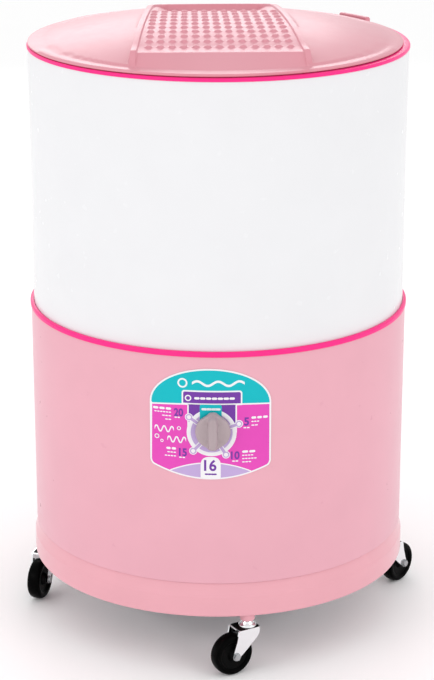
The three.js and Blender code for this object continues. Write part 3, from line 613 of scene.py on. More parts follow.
def fork(carrier, at):
    """Yoke, a thin black sheet on its top plate as painted dark reflection, the swivel's race and the stem."""
    half = FORK_GAP + FORK_PLATE
    spans = (FORK_GAP, half), (-half, -FORK_GAP)
    legs = [slab("leg", leg_outline(), *span, CHROME, at=moved(tilt=90)) for span in spans]
    yoke = slab(carrier + "_yoke", rounded(head_outline(), 4, 4), FORK_TOP - FORK_PLATE, FORK_TOP, CHROME)
    carve(yoke, legs, "UNION")
    carve(yoke, [tool(circle(4.6, 32), -25, 25, at=moved(TRAIL, 0, WHEEL_R, tilt=90))])
    bevel(yoke, 0.9, 3)
    yoke.data.transform(at)
    belongs(yoke, carrier, "chrome", carrier + "_fork")

    # Painted reflection: a thin black sheet on the chrome top plate, not a part of its own.
    outline = rounded(head_outline(1), 3.5, 4)
    painted_reflection_sheet = slab(carrier + "_cap", outline, FORK_TOP - 0.4, FORK_TOP + 0.5, BLACK_GLOSS, at=at)
    belongs(bevel(painted_reflection_sheet, 0.4, 2), carrier, "black_wheel")
    race_top = base_lo[2] - 0.5
    outline = [
        (0, FORK_TOP - 4), (13.4, FORK_TOP - 4), (14, FORK_TOP + 0.6), (13.6, FORK_TOP + 2.2),
        (11.6, FORK_TOP + 4.6), (10.9, FORK_TOP + 4.7), (10.4, FORK_TOP + 5.6), (8.4, race_top), (0, race_top),
    ]
    race = lathe(carrier + "_race", rounded(outline, 0.6, 3), CHROME, at=at)
    belongs(race, carrier, "chrome")
    outline = [(0, 70), (5.4, 70), (5.4, 117), (0, 118)]
    belongs(lathe(carrier + "_stem", rounded(outline, 0.8, 3), ZINC, at=at), carrier, "steel")


def axle_bolt(carrier, at):
    """Bolt through the fork, with a washer and a nut's hexagon on each side."""
    half = FORK_GAP + FORK_PLATE
    shank = rounded([(0, -half - 1), (4, -half - 1), (4, half + 1), (0, half + 1)], 0.4, 2)
    bolt = lathe("bolt", shank, ZINC, 32, at=moved(tilt=90))
    disc = rounded([(0, half + 0.2), (6.4, half + 0.2), (6.4, half + 1.1), (0, half + 1.1)], 0.3, 2)
    hexagon = rounded(circle(5.6, 6), 0.5, 2)
    parts = []
    for end in (moved(tilt=-90), moved(tilt=90)):
        parts.append(lathe("washer", disc, ZINC, 32, at=end))
        parts.append(slab("nut", hexagon, half + 1.1, half + 3.8, ZINC, at=end))
    bolt = join(bolt, *parts)
    bolt.name = carrier + "_axle_bolt"
    bolt.data.transform(at @ moved(TRAIL, 0, WHEEL_R))
    belongs(bolt, carrier, "steel", carrier + "_axle")


def wheel(name, at):
    """Crowned tyre on a dished hub."""
    tread = [
        (22.5, -9.4), (26, -10.6), (29.5, -10.4), (31.9, -8), (WHEEL_R - 0.2, -4), (WHEEL_R, 0),
        (WHEEL_R - 0.2, 4), (31.9, 8), (29.5, 10.4), (26, 10.6), (22.5, 9.4),
    ]
    body = name + "_wheel"
    tyre = lathe(body + "_tyre", rounded(tread, 1.6, 3), BLACK_GLOSS, 96, at=at)
    belongs(tyre, body, "black_wheel", name + "_caster_wheel")
    hub = [
        (4.5, -12.4), (7.6, -12.4), (9.2, -9), (10.5, -6), (20, -6), (22.9, -9), (22.9, 9), (20, 6), (10.5, 6),
        (9.2, 9), (7.6, 12.4), (4.5, 12.4),
    ]
    belongs(lathe(body + "_hub", rounded(hub, 0.9, 3), BLACK_SATIN, 96, at=at), body, "black_wheel")


def caster(name):
    """One swivel caster and the socket it stands in, placed and turned as its joints say."""
    swivel, roll = JOINTS[name + "_caster_swivel"], JOINTS[name + "_wheel_roll"]
    x, y, _ = np.array(swivel["pos_m"]) / MM
    trail = math.degrees(math.atan2(-roll["axis"][0], roll["axis"][1]))
    at = moved(x, y, 0, turn=trail)
    fork(name + "_caster", at)
    axle_bolt(name + "_caster", at)
    wheel(name, at @ moved(TRAIL, 0, WHEEL_R, tilt=90))
    foot = base_lo[2]
    socket = [
        (6.2, foot), (10.3, foot), (11.5, foot + 1.6), (11.8, SKIRT_BOTTOM + 0.5), (15, SKIRT_BOTTOM + 3.6),
        (15, SKIRT_BOTTOM + 5), (6.2, SKIRT_BOTTOM + 5),
    ]
    boss = lathe(name + "_caster_socket", rounded(socket, 1.4, 4), BASE_PINK, at=moved(x, y, 0))
    belongs(boss, "cabinet", "pink_shell")


for name in ("front", "right", "rear", "left"):
    caster(name)

# ------------------------------------------------------------------ lid

LID_X = float((box("lid")[0][0] + box("lid")[1][0]) / 2)
LID_TURN = 4.0  # how far the lid lies turned on the ring
LID_R = 285.3
DOME_R, DOME_RISE, DOME_STEP = 262.0, 29.8, 2.2
TOE_R = 262.5  # where the washboard's slope and rails run out
EDGE_Y, EDGE_RISE = -208.0, 16.2  # front edge of the washboard
BOARD_PITCH, FIRST_ROW, ROWS = 26.0, -178.0, 10
BUMP_R, BUMP_RISE = 5.3, 3.1
TRAY_FRONT, TRAY_BACK, TRAY_HALF, TRAY_RISE = 66.0, 150.0, 64.0, 15.0
TRAY_CORNER = 14.0
RAIL, RAIL_PROUD = 10.0, 3.5
FLANGE = float(box("lid")[1][2] - DOME_RISE - RAIL_PROUD)
LID_SKIN = 3  # thickness of the moulding


def smoothstep(low, high, value):
    t = np.clip((value - low) / (high - low), 0, 1)
    return t * t * (3 - 2 * t)


def mix(a, b, t):
    return a + (b - a) * t


def dome(r):
    """The domed skin, with a small step up from the flat flange."""
    step = DOME_STEP * (1 - smoothstep(DOME_R - 1.2, DOME_R + 2.2, r))
    return FLANGE + step + (DOME_RISE - DOME_STEP) * (1 - (np.minimum(r, DOME_R) / DOME_R) ** 2.2)


def board(y):
    """Height of the washboard, which is flat from side to side: the dome's own line, level at the front."""
    start, end = -165.0, EDGE_Y
    z0, z1 = dome(-start), FLANGE + EDGE_RISE
    slope0, slope1 = 0.149 * (start - end), 0.03 * (start - end)
    t = np.clip((y - start) / (end - start), 0, 1)
    ease = (2 * t**3 - 3 * t**2 + 1) * z0 - (t**3 - 2 * t**2 + t) * slope0
    ease += (3 * t**2 - 2 * t**3) * z1 - (t**3 - t**2) * slope1
    return np.where(y > start, dome(np.abs(y)), ease)


def board_half(y):
    """Half the washboard's width, which tapers to the rear."""
    return 102.4 - 0.0804 * y


def front_slope(x, y):
    """The plain slope between the washboard's straight front edge and the flange's circle."""
    toe = -np.sqrt(np.maximum(TOE_R**2 - x**2, 1))
    t = np.clip((y - toe) / (EDGE_Y - toe), 0, 1)
    return FLANGE + EDGE_RISE * t


def bow(x):
    """How far the tray's rear edge curves forward at its ends."""
    return 8 * np.minimum(np.abs(x) / 95, 1) ** 2


def rail_distance(x, y):
    """Distance outwards from the rail's inner edge, a round-cornered outline; less than 0 on the board."""
    a = np.abs(x) - board_half(y) + TRAY_CORNER
    b = y - (TRAY_BACK - bow(x)) + TRAY_CORNER
    return np.hypot(np.maximum(a, 0), np.maximum(b, 0)) + np.minimum(np.maximum(a, b), 0) - TRAY_CORNER


def lid_height(x, y, upper=True):
    """Height of the lid's top at points in its plane; without its bumps and rails for the underside."""
    r = np.hypot(x, y)
    skin = dome(r) - 2.2 * np.clip((r - LID_R + 5) / 5, 0, 1) ** 2
    surface = np.where(y < EDGE_Y, front_slope(x, y), board(y))
    ends = np.clip((np.abs(x) - TRAY_HALF) / (board_half(y) - TRAY_HALF - 6), 0, 1)
    tray = FLANGE + TRAY_RISE + ends * (board(y) - FLANGE - TRAY_RISE)
    inner = mix(surface, tray, smoothstep(TRAY_FRONT, TRAY_FRONT + 2.6, y))
    d = rail_distance(x, y)
    rail_top = np.where(r > TOE_R, skin, surface)
    if upper:
        crown = 0.5 * np.clip(2 * d / RAIL - 1, -1, 1) ** 2
        proud = RAIL_PROUD * (1 - smoothstep(257, 266, r))
        rail_top = rail_top + proud * (1 - crown / RAIL_PROUD)
    z = mix(inner, rail_top, smoothstep(-0.4, 1.7, d))
    z = mix(z, skin, smoothstep(RAIL - 0.6, RAIL + 2.2, d))
    if upper:
        for row in FIRST_ROW + BOARD_PITCH * np.arange(ROWS):
            near = np.abs(y - row) < 6
            for column in range(-6, 7):
                middle = column / 6 * (94.2 - 0.0465 * row)
                q = ((x[near] - middle) / BUMP_R) ** 2 + ((y[near] - row) / BUMP_R) ** 2
                z[near] += BUMP_RISE * np.sqrt(np.clip(1 - q, 0, 1))
    return z


def lid_grid():
    """Rows of points over the lid's circle: columns follow the rails, rows the tray's bowed rear edge."""
    top_r = LID_R - 0.3
    step = 1.4
    inside = np.linspace(0, 1, 72)
    across = np.array([0.5, 1.0, 1.5, 2.1, 3.2, 5, 7, 8.6, 9.5, 10.0, 10.5, 11.0, 11.6, 12.3])
    beyond = np.linspace(0, 1, 20)[1:]
    y_end = 0.985 * top_r
    ys = np.concatenate([
        np.linspace(-y_end + 0.8, -264, 9), np.arange(-263, 168, step), np.linspace(170, y_end - 0.8, 26),
    ])
    rows = []
    for y in ys:
        chord = math.sqrt(top_r**2 - y * y)
        half = board_half(y)
        rail_end = half + across[-1]
        k = min(1.0, 0.93 * chord / rail_end)
        xs = np.concatenate([inside * half, half + across, rail_end + beyond * (chord / k - rail_end)]) * k
        xs[-1] = chord
        xs = np.concatenate([-xs[:0:-1], xs])
        forward = bow(xs) * smoothstep(70, 145, y) * (1 - smoothstep(165, 200, y))
        edge = np.clip((np.abs(xs) - half) / (chord - half + 1e-6), 0, 1)
        rows.append(np.stack([xs, y - forward * (1 - edge)], 1))
    arc = np.linspace(-1, 1, len(rows[0])) * math.sqrt(top_r**2 - y_end**2)
    first = np.stack([arc, -np.sqrt(top_r**2 - arc**2)], 1)
    last = np.stack([arc, np.sqrt(top_r**2 - arc**2)], 1)
    return np.array([first, *rows, last]), top_r


def lid_underside(edge):
    """Loops of points from the rim to near the middle, a skin's thickness below the top."""
    count = len(edge)
    rim = [
        (LID_R, FLANGE - 2.6), (LID_R, FLANGE - 3.8), (LID_R - 1, FLANGE - 4.5), (262, FLANGE - 4.5),
        (258, FLANGE - 3.4),
    ]
    loops = [np.column_stack([edge * r, np.full(count, z)]) for r, z in rim]
    for r in np.linspace(254, 6, 44):
        x, y = (edge * r).T
        shifts = ((0, 0), (4, 0), (-4, 0), (0, 4), (0, -4))
        low = np.min([lid_height(x + dx, y + dy, upper=False) for dx, dy in shifts], axis=0)
        low = np.minimum(low, dome(np.hypot(x, y) + 3))
        loops.append(np.column_stack([x, y, low - LID_SKIN]))
    return loops


def lid_shell():
    grid, top_r = lid_grid()
    m, n = grid.shape[:2]
    flat = grid.reshape(-1, 2)
    points = [np.column_stack([flat, lid_height(flat[:, 0].copy(), flat[:, 1].copy())])]
    faces = [
        (i * n + j, i * n + j + 1, (i + 1) * n + j + 1, (i + 1) * n + j)
        for i in range(m - 1)
        for j in range(n - 1)
    ]
    previous = (
        [j for j in range(n)] + [i * n + n - 1 for i in range(1, m)]
        + [(m - 1) * n + j for j in range(n - 2, -1, -1)] + [i * n for i in range(m - 2, 0, -1)]
    )
    count = len(previous)
    loops = lid_underside(flat[previous] / top_r)
    for k, loop in enumerate(loops):
        current = [m * n + k * count + i for i in range(count)]
        for i in range(count):
            following = (i + 1) % count
            faces.append((previous[i], current[i], current[following], previous[following]))
        previous = current
    points += [*loops, np.array([[0, 0, dome(0.0) - LID_SKIN]])]
    centre = m * n + len(loops) * count
    faces += [(previous[i], centre, previous[(i + 1) % count]) for i in range(count)]
    return piece("lid_shell", np.concatenate(points), faces, LID_PINK, crease=50)


lid_place = moved(LID_X, 0, 0, turn=LID_TURN)
shell = lid_shell()
shell.data.transform(lid_place)
belongs(shell, "lid", "pink_plastic", "lid")
lip_outline = [
    (268.7, DATUM + 903), (271.2, DATUM + 903), (271.2, ring_hi[2] + 0.4), (283, ring_hi[2] + 0.4),
    (283, FLANGE - 4.4), (268.7, FLANGE - 4.4),
]
lip = lathe("lid_lip", rounded(lip_outline, 0.8, 3), LID_PINK, ROUND, at=lid_place)
belongs(lip, "lid", "pink_plastic")

# ------------------------------------------------------------------ tub and agitator


def curve(points, count):
    """A smooth line through the points, with the same number of steps between any two."""
    pts = np.array([points[0], *points, points[-1]], float)
    out = []
    for i in range(1, len(pts) - 2):
        p0, p1, p2, p3 = pts[i - 1 : i + 3]
        for t in np.linspace(0, 1, count, endpoint=False):
            square, cube = 2 * p0 - 5 * p1 + 4 * p2 - p3, 3 * p1 - p0 - 3 * p2 + p3
            out.append(0.5 * (2 * p1 + (p2 - p0) * t + square * t**2 + cube * t**3))
    out.append(pts[-2])
    return np.array(out)


TUB_FLOOR = DATUM + 400
DRAIN_Y = 190


def wash_tub():
    """Tub with a rolled rim, a raised hub in the middle and a drain hole behind it."""
    rim, floor = box("wash_tub")[1][2], TUB_FLOOR
    inside = [
        (20, floor + 24), (44, floor + 22), (64, floor + 3), (236, floor + 3), (257, floor + 11),
        (265, floor + 30), (280.5, rim),
    ]
    outside = [
        (289.4, rim), (289.4, rim - 1.9), (283.5, rim - 1.9), (268, floor + 29), (259, floor + 9),
        (237, floor), (62, floor), (42, floor + 19), (20, floor + 21),
    ]
    radii = [0.8, 6, 8, 14, 12, 20, 1.5, 0.8, 0.6, 1, 20, 12, 14, 8, 6, 0.8]
    tub = lathe("tub", rounded(inside + outside, radii, 5), TUB_WHITE, 192)
    return carve(tub, [tool(circle(16, 40), floor - 20, floor + 20, at=moved(0, DRAIN_Y, 0))])


def strainer():
    """Domed grille with two rings of holes, on a short throat."""
    floor = TUB_FLOOR
    outline = [
        (0, floor + 4.6), (20, floor + 4.6), (21, floor + 3.4), (25, floor + 3.4), (24.4, floor + 4.4),
        (21.6, floor + 6.4), (0, floor + 6.8),
    ]
    dish = lathe("drain_grille", rounded(outline, 0.5, 3), GREY_PLASTIC, 64)
    spots = [(0, 0), *circle(6.5, 6), *circle(13, 12)]
    carve(dish, [tool(circle(1.9, 16, x, y), floor, floor + 12) for x, y in spots])
    throat = rounded([(12.5, floor - 4), (14.5, floor - 4), (14.5, floor + 4.8), (12.5, floor + 4.8)], 0.4, 2)
    dish = join(dish, lathe("throat", throat, GREY_PLASTIC, 64))
    dish.data.transform(moved(0, DRAIN_Y, 0))
    return dish


def agitator_column():
    """Hollow agitator: a flared skirt, a tapered post and four vanes that run out of it."""
    z0 = box("agitator")[0][2]
    profile = curve([
        (149.4, 0.4), (150, 2.6), (149, 4.6), (131, 10.5), (112, 17), (93, 28), (77, 41), (66, 58), (57, 81),
        (50, 120), (46, 159), (43, 230), (40, 301),
    ], 5)
    vane_z = [0, 2, 21, 40, 59, 95, 129, 180, 229, 262, 279, 288, 301]
    vane_r = [146, 146, 142, 127, 112, 96, 84, 71, 60, 53.5, 50, 42, 38]
    vane_half = 5.2
    near = np.concatenate([np.linspace(-7, 7, 25), np.linspace(7, 83, 30)[1:-1]])
    angles = np.radians(np.concatenate([near + 90 * q for q in range(4)]))
    off = np.radians((np.degrees(angles) + 45) % 90 - 45)

    def row(radius, height):
        x, y = radius * np.cos(angles), radius * np.sin(angles)
        return np.column_stack([x, y, np.full(len(angles), z0 + height)])

    points = []
    for r, h in profile:
        tip = max(np.interp(h, vane_z, vane_r), r)
        blade = 1 / (1 + (np.abs(off) * (r + tip) / 2 / vane_half) ** 6)
        points.append(row(r + (tip - r) * blade, h))
    hollow = [(36, 301), (42, 159), (53, 79), (72.5, 38.5), (110, 13), (146, 0)]
    points += [row(r, h) for r, h in hollow]
    faces = bands(len(points), len(angles), len(points))
    body = piece("agitator_column", np.concatenate(points), faces, SOFT_PINK, crease=45)
    hub = [(8.7, 44), (18, 44), (18, 67), (56.5, 67), (55, 72), (18, 73), (18, 95), (8.7, 95)]
    hub = rounded([(r, z0 + h) for r, h in hub], 0.8, 3)
    return join(body, lathe("hub", hub, SOFT_PINK, 64))


def agitator_cap():
    lo, hi = box("agitator_cap")
    z0, z1 = lo[2], hi[2]
    outline = [
        (0, z0), (35, z0), (35, z0 + 6.4), (40, z0 + 6.4), (40, z0 + 9.5), (34.5, z0 + 16), (28, z0 + 19),
        (26.4, z0 + 18.2), (24.5, z0 + 19.6), (12, z1 - 0.8), (0, z1),
    ]
    outline = rounded(outline, [1, 1, 0.4, 0.8, 3, 6, 2, 1, 2, 6, 1], 4)
    return lathe("agitator_cap_moulding", outline, HOT_PINK, 96)


belongs(wash_tub(), "cabinet", "white_plastic", "wash_tub")
belongs(strainer(), "cabinet", "hose_grey", "drain_strainer")
belongs(agitator_column(), "agitator", "pink_plastic", "agitator")
belongs(agitator_cap(), "agitator", "hot_pink", "agitator_cap")

# ------------------------------------------------------------------ control panel

panel_lo, panel_hi = box("control_panel")
PANEL_X = float((panel_lo[0] + panel_hi[0]) / 2)
ART_X = PANEL_X + 0.4  # the print lies a hair to the right of the plate's middle
PANEL_BOTTOM = panel_lo[2]
PANEL_HALF = float((panel_hi[0] - panel_lo[0]) / 2)
PANEL_TOP = float(panel_hi[2] - panel_lo[2])
PANEL_R = R_LOWER + 1.1  # the plate's face; the print lies on it in thin layers
LAYER = 0.06
DIAL = (1.7, 73.9)  # the printed ring's centre, a little below the knob's own


def panel_outline(inset=0.0):
    """Arched top, straight sides, blunt lower corners and a bowed bottom, round the panel's middle."""
    shoulder, corner, half = 118.0, 21.0, PANEL_HALF
    rise = PANEL_TOP - shoulder
    arch = [(half * math.cos(a), shoulder + rise * math.sin(a)) for a in np.linspace(0, math.pi, 61)]
    bottom = [(half * t, corner * t * t) for t in np.linspace(-0.94, 0.94, 31)]
    near = [(-half, corner + 6.5), (-half + 0.9, corner + 2.6), (-half + 2.7, corner - 0.4)]
    outline = arch + near + bottom + [(-x, z) for x, z in near[::-1]]
    if not inset:
        return outline
    pts = np.array(outline)
    tangent = np.roll(pts, -1, 0) - np.roll(pts, 1, 0)
    normal = np.stack([-tangent[:, 1], tangent[:, 0]], 1)
    normal /= np.linalg.norm(normal, axis=1)[:, None]
    return [tuple(p) for p in pts + normal * inset]


def on_panel(outline, middle=ART_X):
    return [(x + middle, z + PANEL_BOTTOM) for x, z in outline]


def printed(name, layer, look, outlines=(), rings=()):
    """A thin printed layer on the panel."""
    ob = bent(
        "panel_" + name, [on_panel(o) for o in outlines], PANEL_R - 0.25, PANEL_R + LAYER * layer, look,
        holes=[(on_panel(a), on_panel(b)) for a, b in rings],
    )
    return belongs(ob, "cabinet", "panel")


def ring(x, z, outer, inner, count=64):
    return circle(outer, count, x, z), circle(inner, count, x, z)


def bar(x0, z0, x1, z1, width):
    """A straight bar with round ends."""
    across = math.atan2(z1 - z0, x1 - x0) + math.pi / 2
    out = []
    for x, z, start in ((x0, z0, across), (x1, z1, across + math.pi)):
        for a in np.linspace(start, start + math.pi, 9):
            out.append((x + width / 2 * math.cos(a), z + width / 2 * math.sin(a)))
    return out


def ripple(x0, x1, z, height, halves, width):
    """A wavy stroke."""
    xs = np.linspace(x0, x1, 61)
    phase = (xs - x0) / (x1 - x0) * halves * math.pi
    slope = height * np.cos(phase) * halves * math.pi / (x1 - x0)
    reach = width / 2 * np.sqrt(1 + slope**2)
    zs = z + height * np.sin(phase)
    return [*zip(xs, zs + reach), *zip(xs[::-1], (zs - reach)[::-1])]


def numeral(text, x, z, height, width):
    """A numeral's filled faces, with its middle at (x, z)."""
    data = bpy.data.curves.new("numeral", "FONT")
    data.body, data.fill_mode, data.resolution_u = text, "FRONT", 5
    data.offset = 0.026
    shape = added("numeral", data)
    bpy.context.view_layer.update()
    mesh = bpy.data.meshes.new_from_object(shape.evaluated_get(bpy.context.evaluated_depsgraph_get()))
    bpy.data.objects.remove(shape)
    co = np.array([v.co for v in mesh.vertices])[:, :2]
    lo, hi = co.min(0), co.max(0)
    co = (co - (lo + hi) / 2) / (hi - lo) * (width, height) + (x, z)
    faces = [[tuple(co[i]) for i in p.vertices] for p in mesh.polygons]
    bpy.data.meshes.remove(mesh)
    return faces


def print_number(name, *place):
    """A numeral as one closed thin body on the panel."""
    bm = bmesh.new()
    for face in numeral(*place):
        bm.faces.new([bm.verts.new((x, 0, z)) for x, z in on_panel(face)])
    bmesh.ops.remove_doubles(bm, verts=bm.verts, dist=1e-3)
    ob = wrapped("panel_" + name, bm, PANEL_R - 0.2, PANEL_R + LAYER * 5.4, PRINT_PURPLE, step=4)
    belongs(ob, "cabinet", "panel")


def print_fields():
    """Teal above a bowed line, magenta below it, and a white gap between them."""
    gap = 1.15
    margin = 2.4
    outline = [(x - 0.4, z) for x, z in panel_outline(margin)]

    def divide(x):
        return 118.4 + 1.05 * x / PANEL_HALF - 2.85 * (x / PANEL_HALF) ** 2

    xs = [x for x in np.linspace(-PANEL_HALF - 1, PANEL_HALF + 1, 45) if abs(x + 0.4) < PANEL_HALF - margin]
    above = [(x, z) for x, z in outline if z > divide(x) + gap]
    below = [(x, z) for x, z in outline if z < divide(x) - gap]
    printed("teal_field", 1, PRINT_TEAL, [above + [(x, divide(x) + gap) for x in xs]])
    printed("magenta_field", 1, PRINT_MAGENTA, [below + [(x, divide(x) - gap) for x in xs[::-1]]])


def wing(rise, side):
    """The field below a shallow arc at the panel's bottom, on one side of the capacity tab."""

    def low(x):
        return 21 * (x / PANEL_HALF) ** 2 + 2.5

    def arc(x):
        return 25.4 + rise - 12.6 * (x / 56) ** 2

    xs = [x for x in np.linspace(14.6, 60, 30) * side if arc(x) > low(x) + 0.1]
    return [(x, arc(x)) for x in xs] + [(x, low(x)) for x in xs[::-1]]


def print_stops():
    """Four round marks at the timer's stops, each with a stem that runs in to the dial."""
    stems, borders, centres, rings = [], [], [], []
    for x, z in [(-31.6, 97.4), (41.9, 87.4), (-25.6, 44.6), (22.9, 39.4)]:
        dx, dz = DIAL[0] - x, DIAL[1] - z
        reach = 1 - 24.5 / math.hypot(dx, dz)
        stem = (x, z, x + dx * reach, z + dz * reach)
        borders += [circle(5.9, 48, x, z), bar(*stem, 7.0)]
        stems.append(bar(*stem, 4.4))
        rings.append(circle(4.8, 48, x, z))
        centres.append(circle(3.1, 40, x, z))
    printed("stop_borders", 4.5, PRINT_WHITE, borders)
    printed("stops", 5.2, PRINT_LILAC, stems + rings)
    printed("stop_centres", 5.8, PRINT_WHITE, centres)


def print_captions():
    """Broken strokes where a panel has words: start, end, height and width of each line."""
    captions = []
    for x0, x1, z, width in (
        (-85, -58, 108.6, 3.6), (-83, -58, 103.0, 1.7), (-71.5, -58, 97.4, 1.7), (-67, -58, 91.8, 1.7),
        (-53, -45, 96.0, 1.9), (60, 84, 96.2, 3.6), (60, 71.5, 90.2, 1.7), (60, 69.5, 84.4, 1.7),
        (48.5, 57.5, 81.0, 1.9), (-65.5, -51, 46.6, 3.6), (-64, -51, 40.6, 1.7), (-68, -51, 34.8, 1.7),
        (-46.5, -37.5, 33.4, 1.9), (46.6, 66, 43.4, 3.6), (46.6, 63, 37.6, 1.7), (46.6, 68, 32.4, 1.7),
        (46.6, 60, 27.2, 1.7), (32, 41, 29.0, 1.9),
    ):
        strokes = max(2, round((x1 - x0) / (width * 2.3)))
        pitch = (x1 - x0 + 0.4 * width) / strokes
        for k in range(strokes):
            start = x0 + width / 2 + k * pitch
            captions.append(bar(start, z, start + pitch - 1.4 * width, z, width))
    printed("captions", 2.4, PRINT_WHITE, captions)


def control_panel():
    cx, cz = DIAL
    plate = bent("panel_plate", [on_panel(panel_outline(), PANEL_X)], R_LOWER + 0.4, PANEL_R, PRINT_WHITE)
    belongs(plate, "cabinet", "panel", "control_panel")
    print_fields()
    printed("wing_borders", 2, PRINT_WHITE, [wing(1.9, side) for side in (-1, 1)])
    printed("wings", 3, PRINT_LILAC, [wing(0, side) for side in (-1, 1)])
    # The tab above the dial, and the block that joins it to the dial's ring.
    tab = rounded(rectangle(-42.2, 116.6, 46.6, 139.3), [0, 0, 4.5, 4.5], 5)
    printed("tab_border", 2, PRINT_WHITE, [tab, rectangle(-34, cz, 38.9, 118)])
    tab = rounded(rectangle(-40, 119.5, 44.4, 137), [0, 0, 3, 3], 5)
    printed("tab", 3, PRINT_PURPLE, [tab, rectangle(-31.9, cz, 36.7, 117.3)])
    printed("dial_ring", 4, PRINT_WHITE, rings=[ring(cx, cz, 36.8, 30.8)])
    printed("dial_scale", 4, PRINT_LILAC, rings=[ring(cx, cz, 30.9, 12)])
    tab = rounded(rectangle(-15.6, cz + 12, 16.6, 117.6), [0, 0, 3.2, 3.2], 5)
    printed("off_tab", 5, PRINT_TEAL, [tab])
    printed("off_mark", 6, PRINT_WHITE, [bar(x, 110.6, x + 4.6, 110.6, 3.4) for x in (-11.4, -4.2, 3.0, 8.6)])
    print_stops()
    tab = rounded(rectangle(-14.6, 1.4, 15.2, 35.9), [0, 0, 13.5, 13.5], 8)
    printed("capacity_tab", 4.6, PRINT_WHITE, [tab])
    marks = [bar(x, 8.4, x + 2.4, 8.4, 2.6) for x in (-7.2, -2.6, 2.0, 5.6)]
    printed("capacity_mark", 5.4, PRINT_PURPLE, marks)
    print_captions()
    bubbles = [
        ring(-79.5, 64, 3.6, 2.3, 32), ring(-72, 57.5, 2.4, 1.3, 28), ring(-46.5, 79, 3.0, 1.8, 28),
        ring(-41, 150.2, 7.4, 5.0, 48), ring(-32.8, 127.2, 4.8, 3.0, 40),
    ]
    printed("bubbles", 4.2, PRINT_WHITE, rings=bubbles)
    waves = [
        ripple(-27, 50, 150.2, 3.4, 5, 3.4), ripple(-83, -54, 76.5, 4.2, 5, 2.0),
        ripple(-64, -36, 61.0, 4.2, 5, 2.0),
    ]
    printed("waves", 2.4, PRINT_WHITE, waves)
    dots = [bar(x, 127.2, x + 4.4, 127.2, 3.6) for x in np.arange(-22, 36, 8.6)]
    printed("tab_dots", 4.2, PRINT_WHITE, dots)
    print_number("minutes_20", "20", -47.0, 103.9, 12.6, 13.6)
    print_number("minutes_5", "5", 53.0, 90.6, 12.8, 7.2)
    print_number("minutes_15", "15", -40.8, 41.6, 12.4, 11.6)
    print_number("minutes_10", "10", 36.6, 38.0, 12.6, 12.6)
    print_number("capacity", "16", -0.3, 22.4, 18.0, 18.4)


control_panel()

# ------------------------------------------------------------------ knob


def knob():
    """Round skirt that draws in to an upright finger grip."""
    back, depth = knob_hi[1], knob_hi[1] - knob_lo[1]
    full = (knob_hi[0] - knob_lo[0]) / 2
    grip = (knob_hi[2] - knob_lo[2]) / 2
    sections = [  # depth, disc radius, grip half-width, how much shorter the grip is
        (0, full - 0.7, 8.0, 1.2), (0.7, full, 8.8, 0), (5.2, full, 8.8, 0), (6.4, full - 0.5, 8.7, 0.1),
        (7.4, full - 1.6, 8.6, 0.4), (8.2, full - 3.6, 8.4, 0.8), (8.8, 18, 8.2, 1.1), (9.3, 12, 8.0, 1.4),
        (11, 4, 7.5, 2.2), (14, 4, 7.0, 3.4), (17, 4, 6.7, 4.8), (18.8, 3, 6.2, 6.0), (19.6, 2, 5.3, 7.0),
        (depth, 1, 3.6, 8.6),
    ]
    angles = np.linspace(0, 2 * math.pi, 180, endpoint=False)
    c, s = np.cos(angles), np.sin(angles)
    rows = []
    for t, disc, wide, short in sections:
        tall = grip - short
        ridge = (np.abs(c / wide) ** 3.4 + np.abs(s / tall) ** 3.4) ** (-1 / 3.4)
        plain = disc * (1 - 0.006 * (1 - np.cos(10 * angles)) * (t < 7))
        radius = (plain**9 + ridge**9) ** (1 / 9)
        radius *= np.minimum(1, max(disc, tall) / radius.max())
        rows.append([(KNOB_X + r * ci, back - t, KNOB_Z + r * si) for r, ci, si in zip(radius, c, s)])
    return loft("knob", rows, KNOB_GREY, crease=50)


belongs(knob(), "timer_knob", "knob_grey", "timer_knob")

# ------------------------------------------------------------------ rear fittings and hose holder


def drain_spout():
    """Barbed spout with a round flange on the wall."""
    start, seat, end = spout_lo[1], R_LOWER + 0.4, spout_hi[1]
    outline = [
        (11, start), (14.5, start), (14.5, seat), (22.2, seat), (23, seat + 0.8), (23, seat + 2.2),
        (22, seat + 3), (16.4, seat + 3), (15.2, seat + 4.4), (15, 304), (16, 305), (14.6, 309), (15.8, 310),
        (14.4, 314), (15.4, 315), (13.6, end), (11, end),
    ]
    place = moved(0, 0, SPOUT_Z, tilt=-90)
    return lathe("drain_spout_moulding", rounded(outline, 0.5, 3), GREY_PLASTIC, 72, at=place)


def cord_gland():
    """Ribbed sleeve with a flange on the wall."""
    start, seat, end = gland_lo[1], R_LOWER + 0.4, gland_hi[1]
    outline = [(3.5, start), (7, start), (7, seat), (10.4, seat), (10.4, seat + 3), (8.2, seat + 4)]
    for k in range(4):
        y, rib, groove = seat + 5 + 2.7 * k, 7.6 - 0.2 * k, 6.0 - 0.2 * k
        outline += [(rib, y), (rib, y + 1.4), (groove, y + 1.5), (groove, y + 2.5)]
    outline += [(5.6, end), (3.5, end)]
    place = moved(0, 0, GLAND_Z, tilt=-90)
    return lathe("cord_gland_moulding", rounded(outline, 0.3, 2), RUBBER, 48, at=place)


HOLDER_AZIMUTH, HOLDER_HALF = 43.0, 6.0  # from +X towards +Y
CLIP_BOTTOM, CLIP_TOP = DATUM + 878, DATUM + 900
CLIP_GAP = 47  # half the angle of the clip's mouth


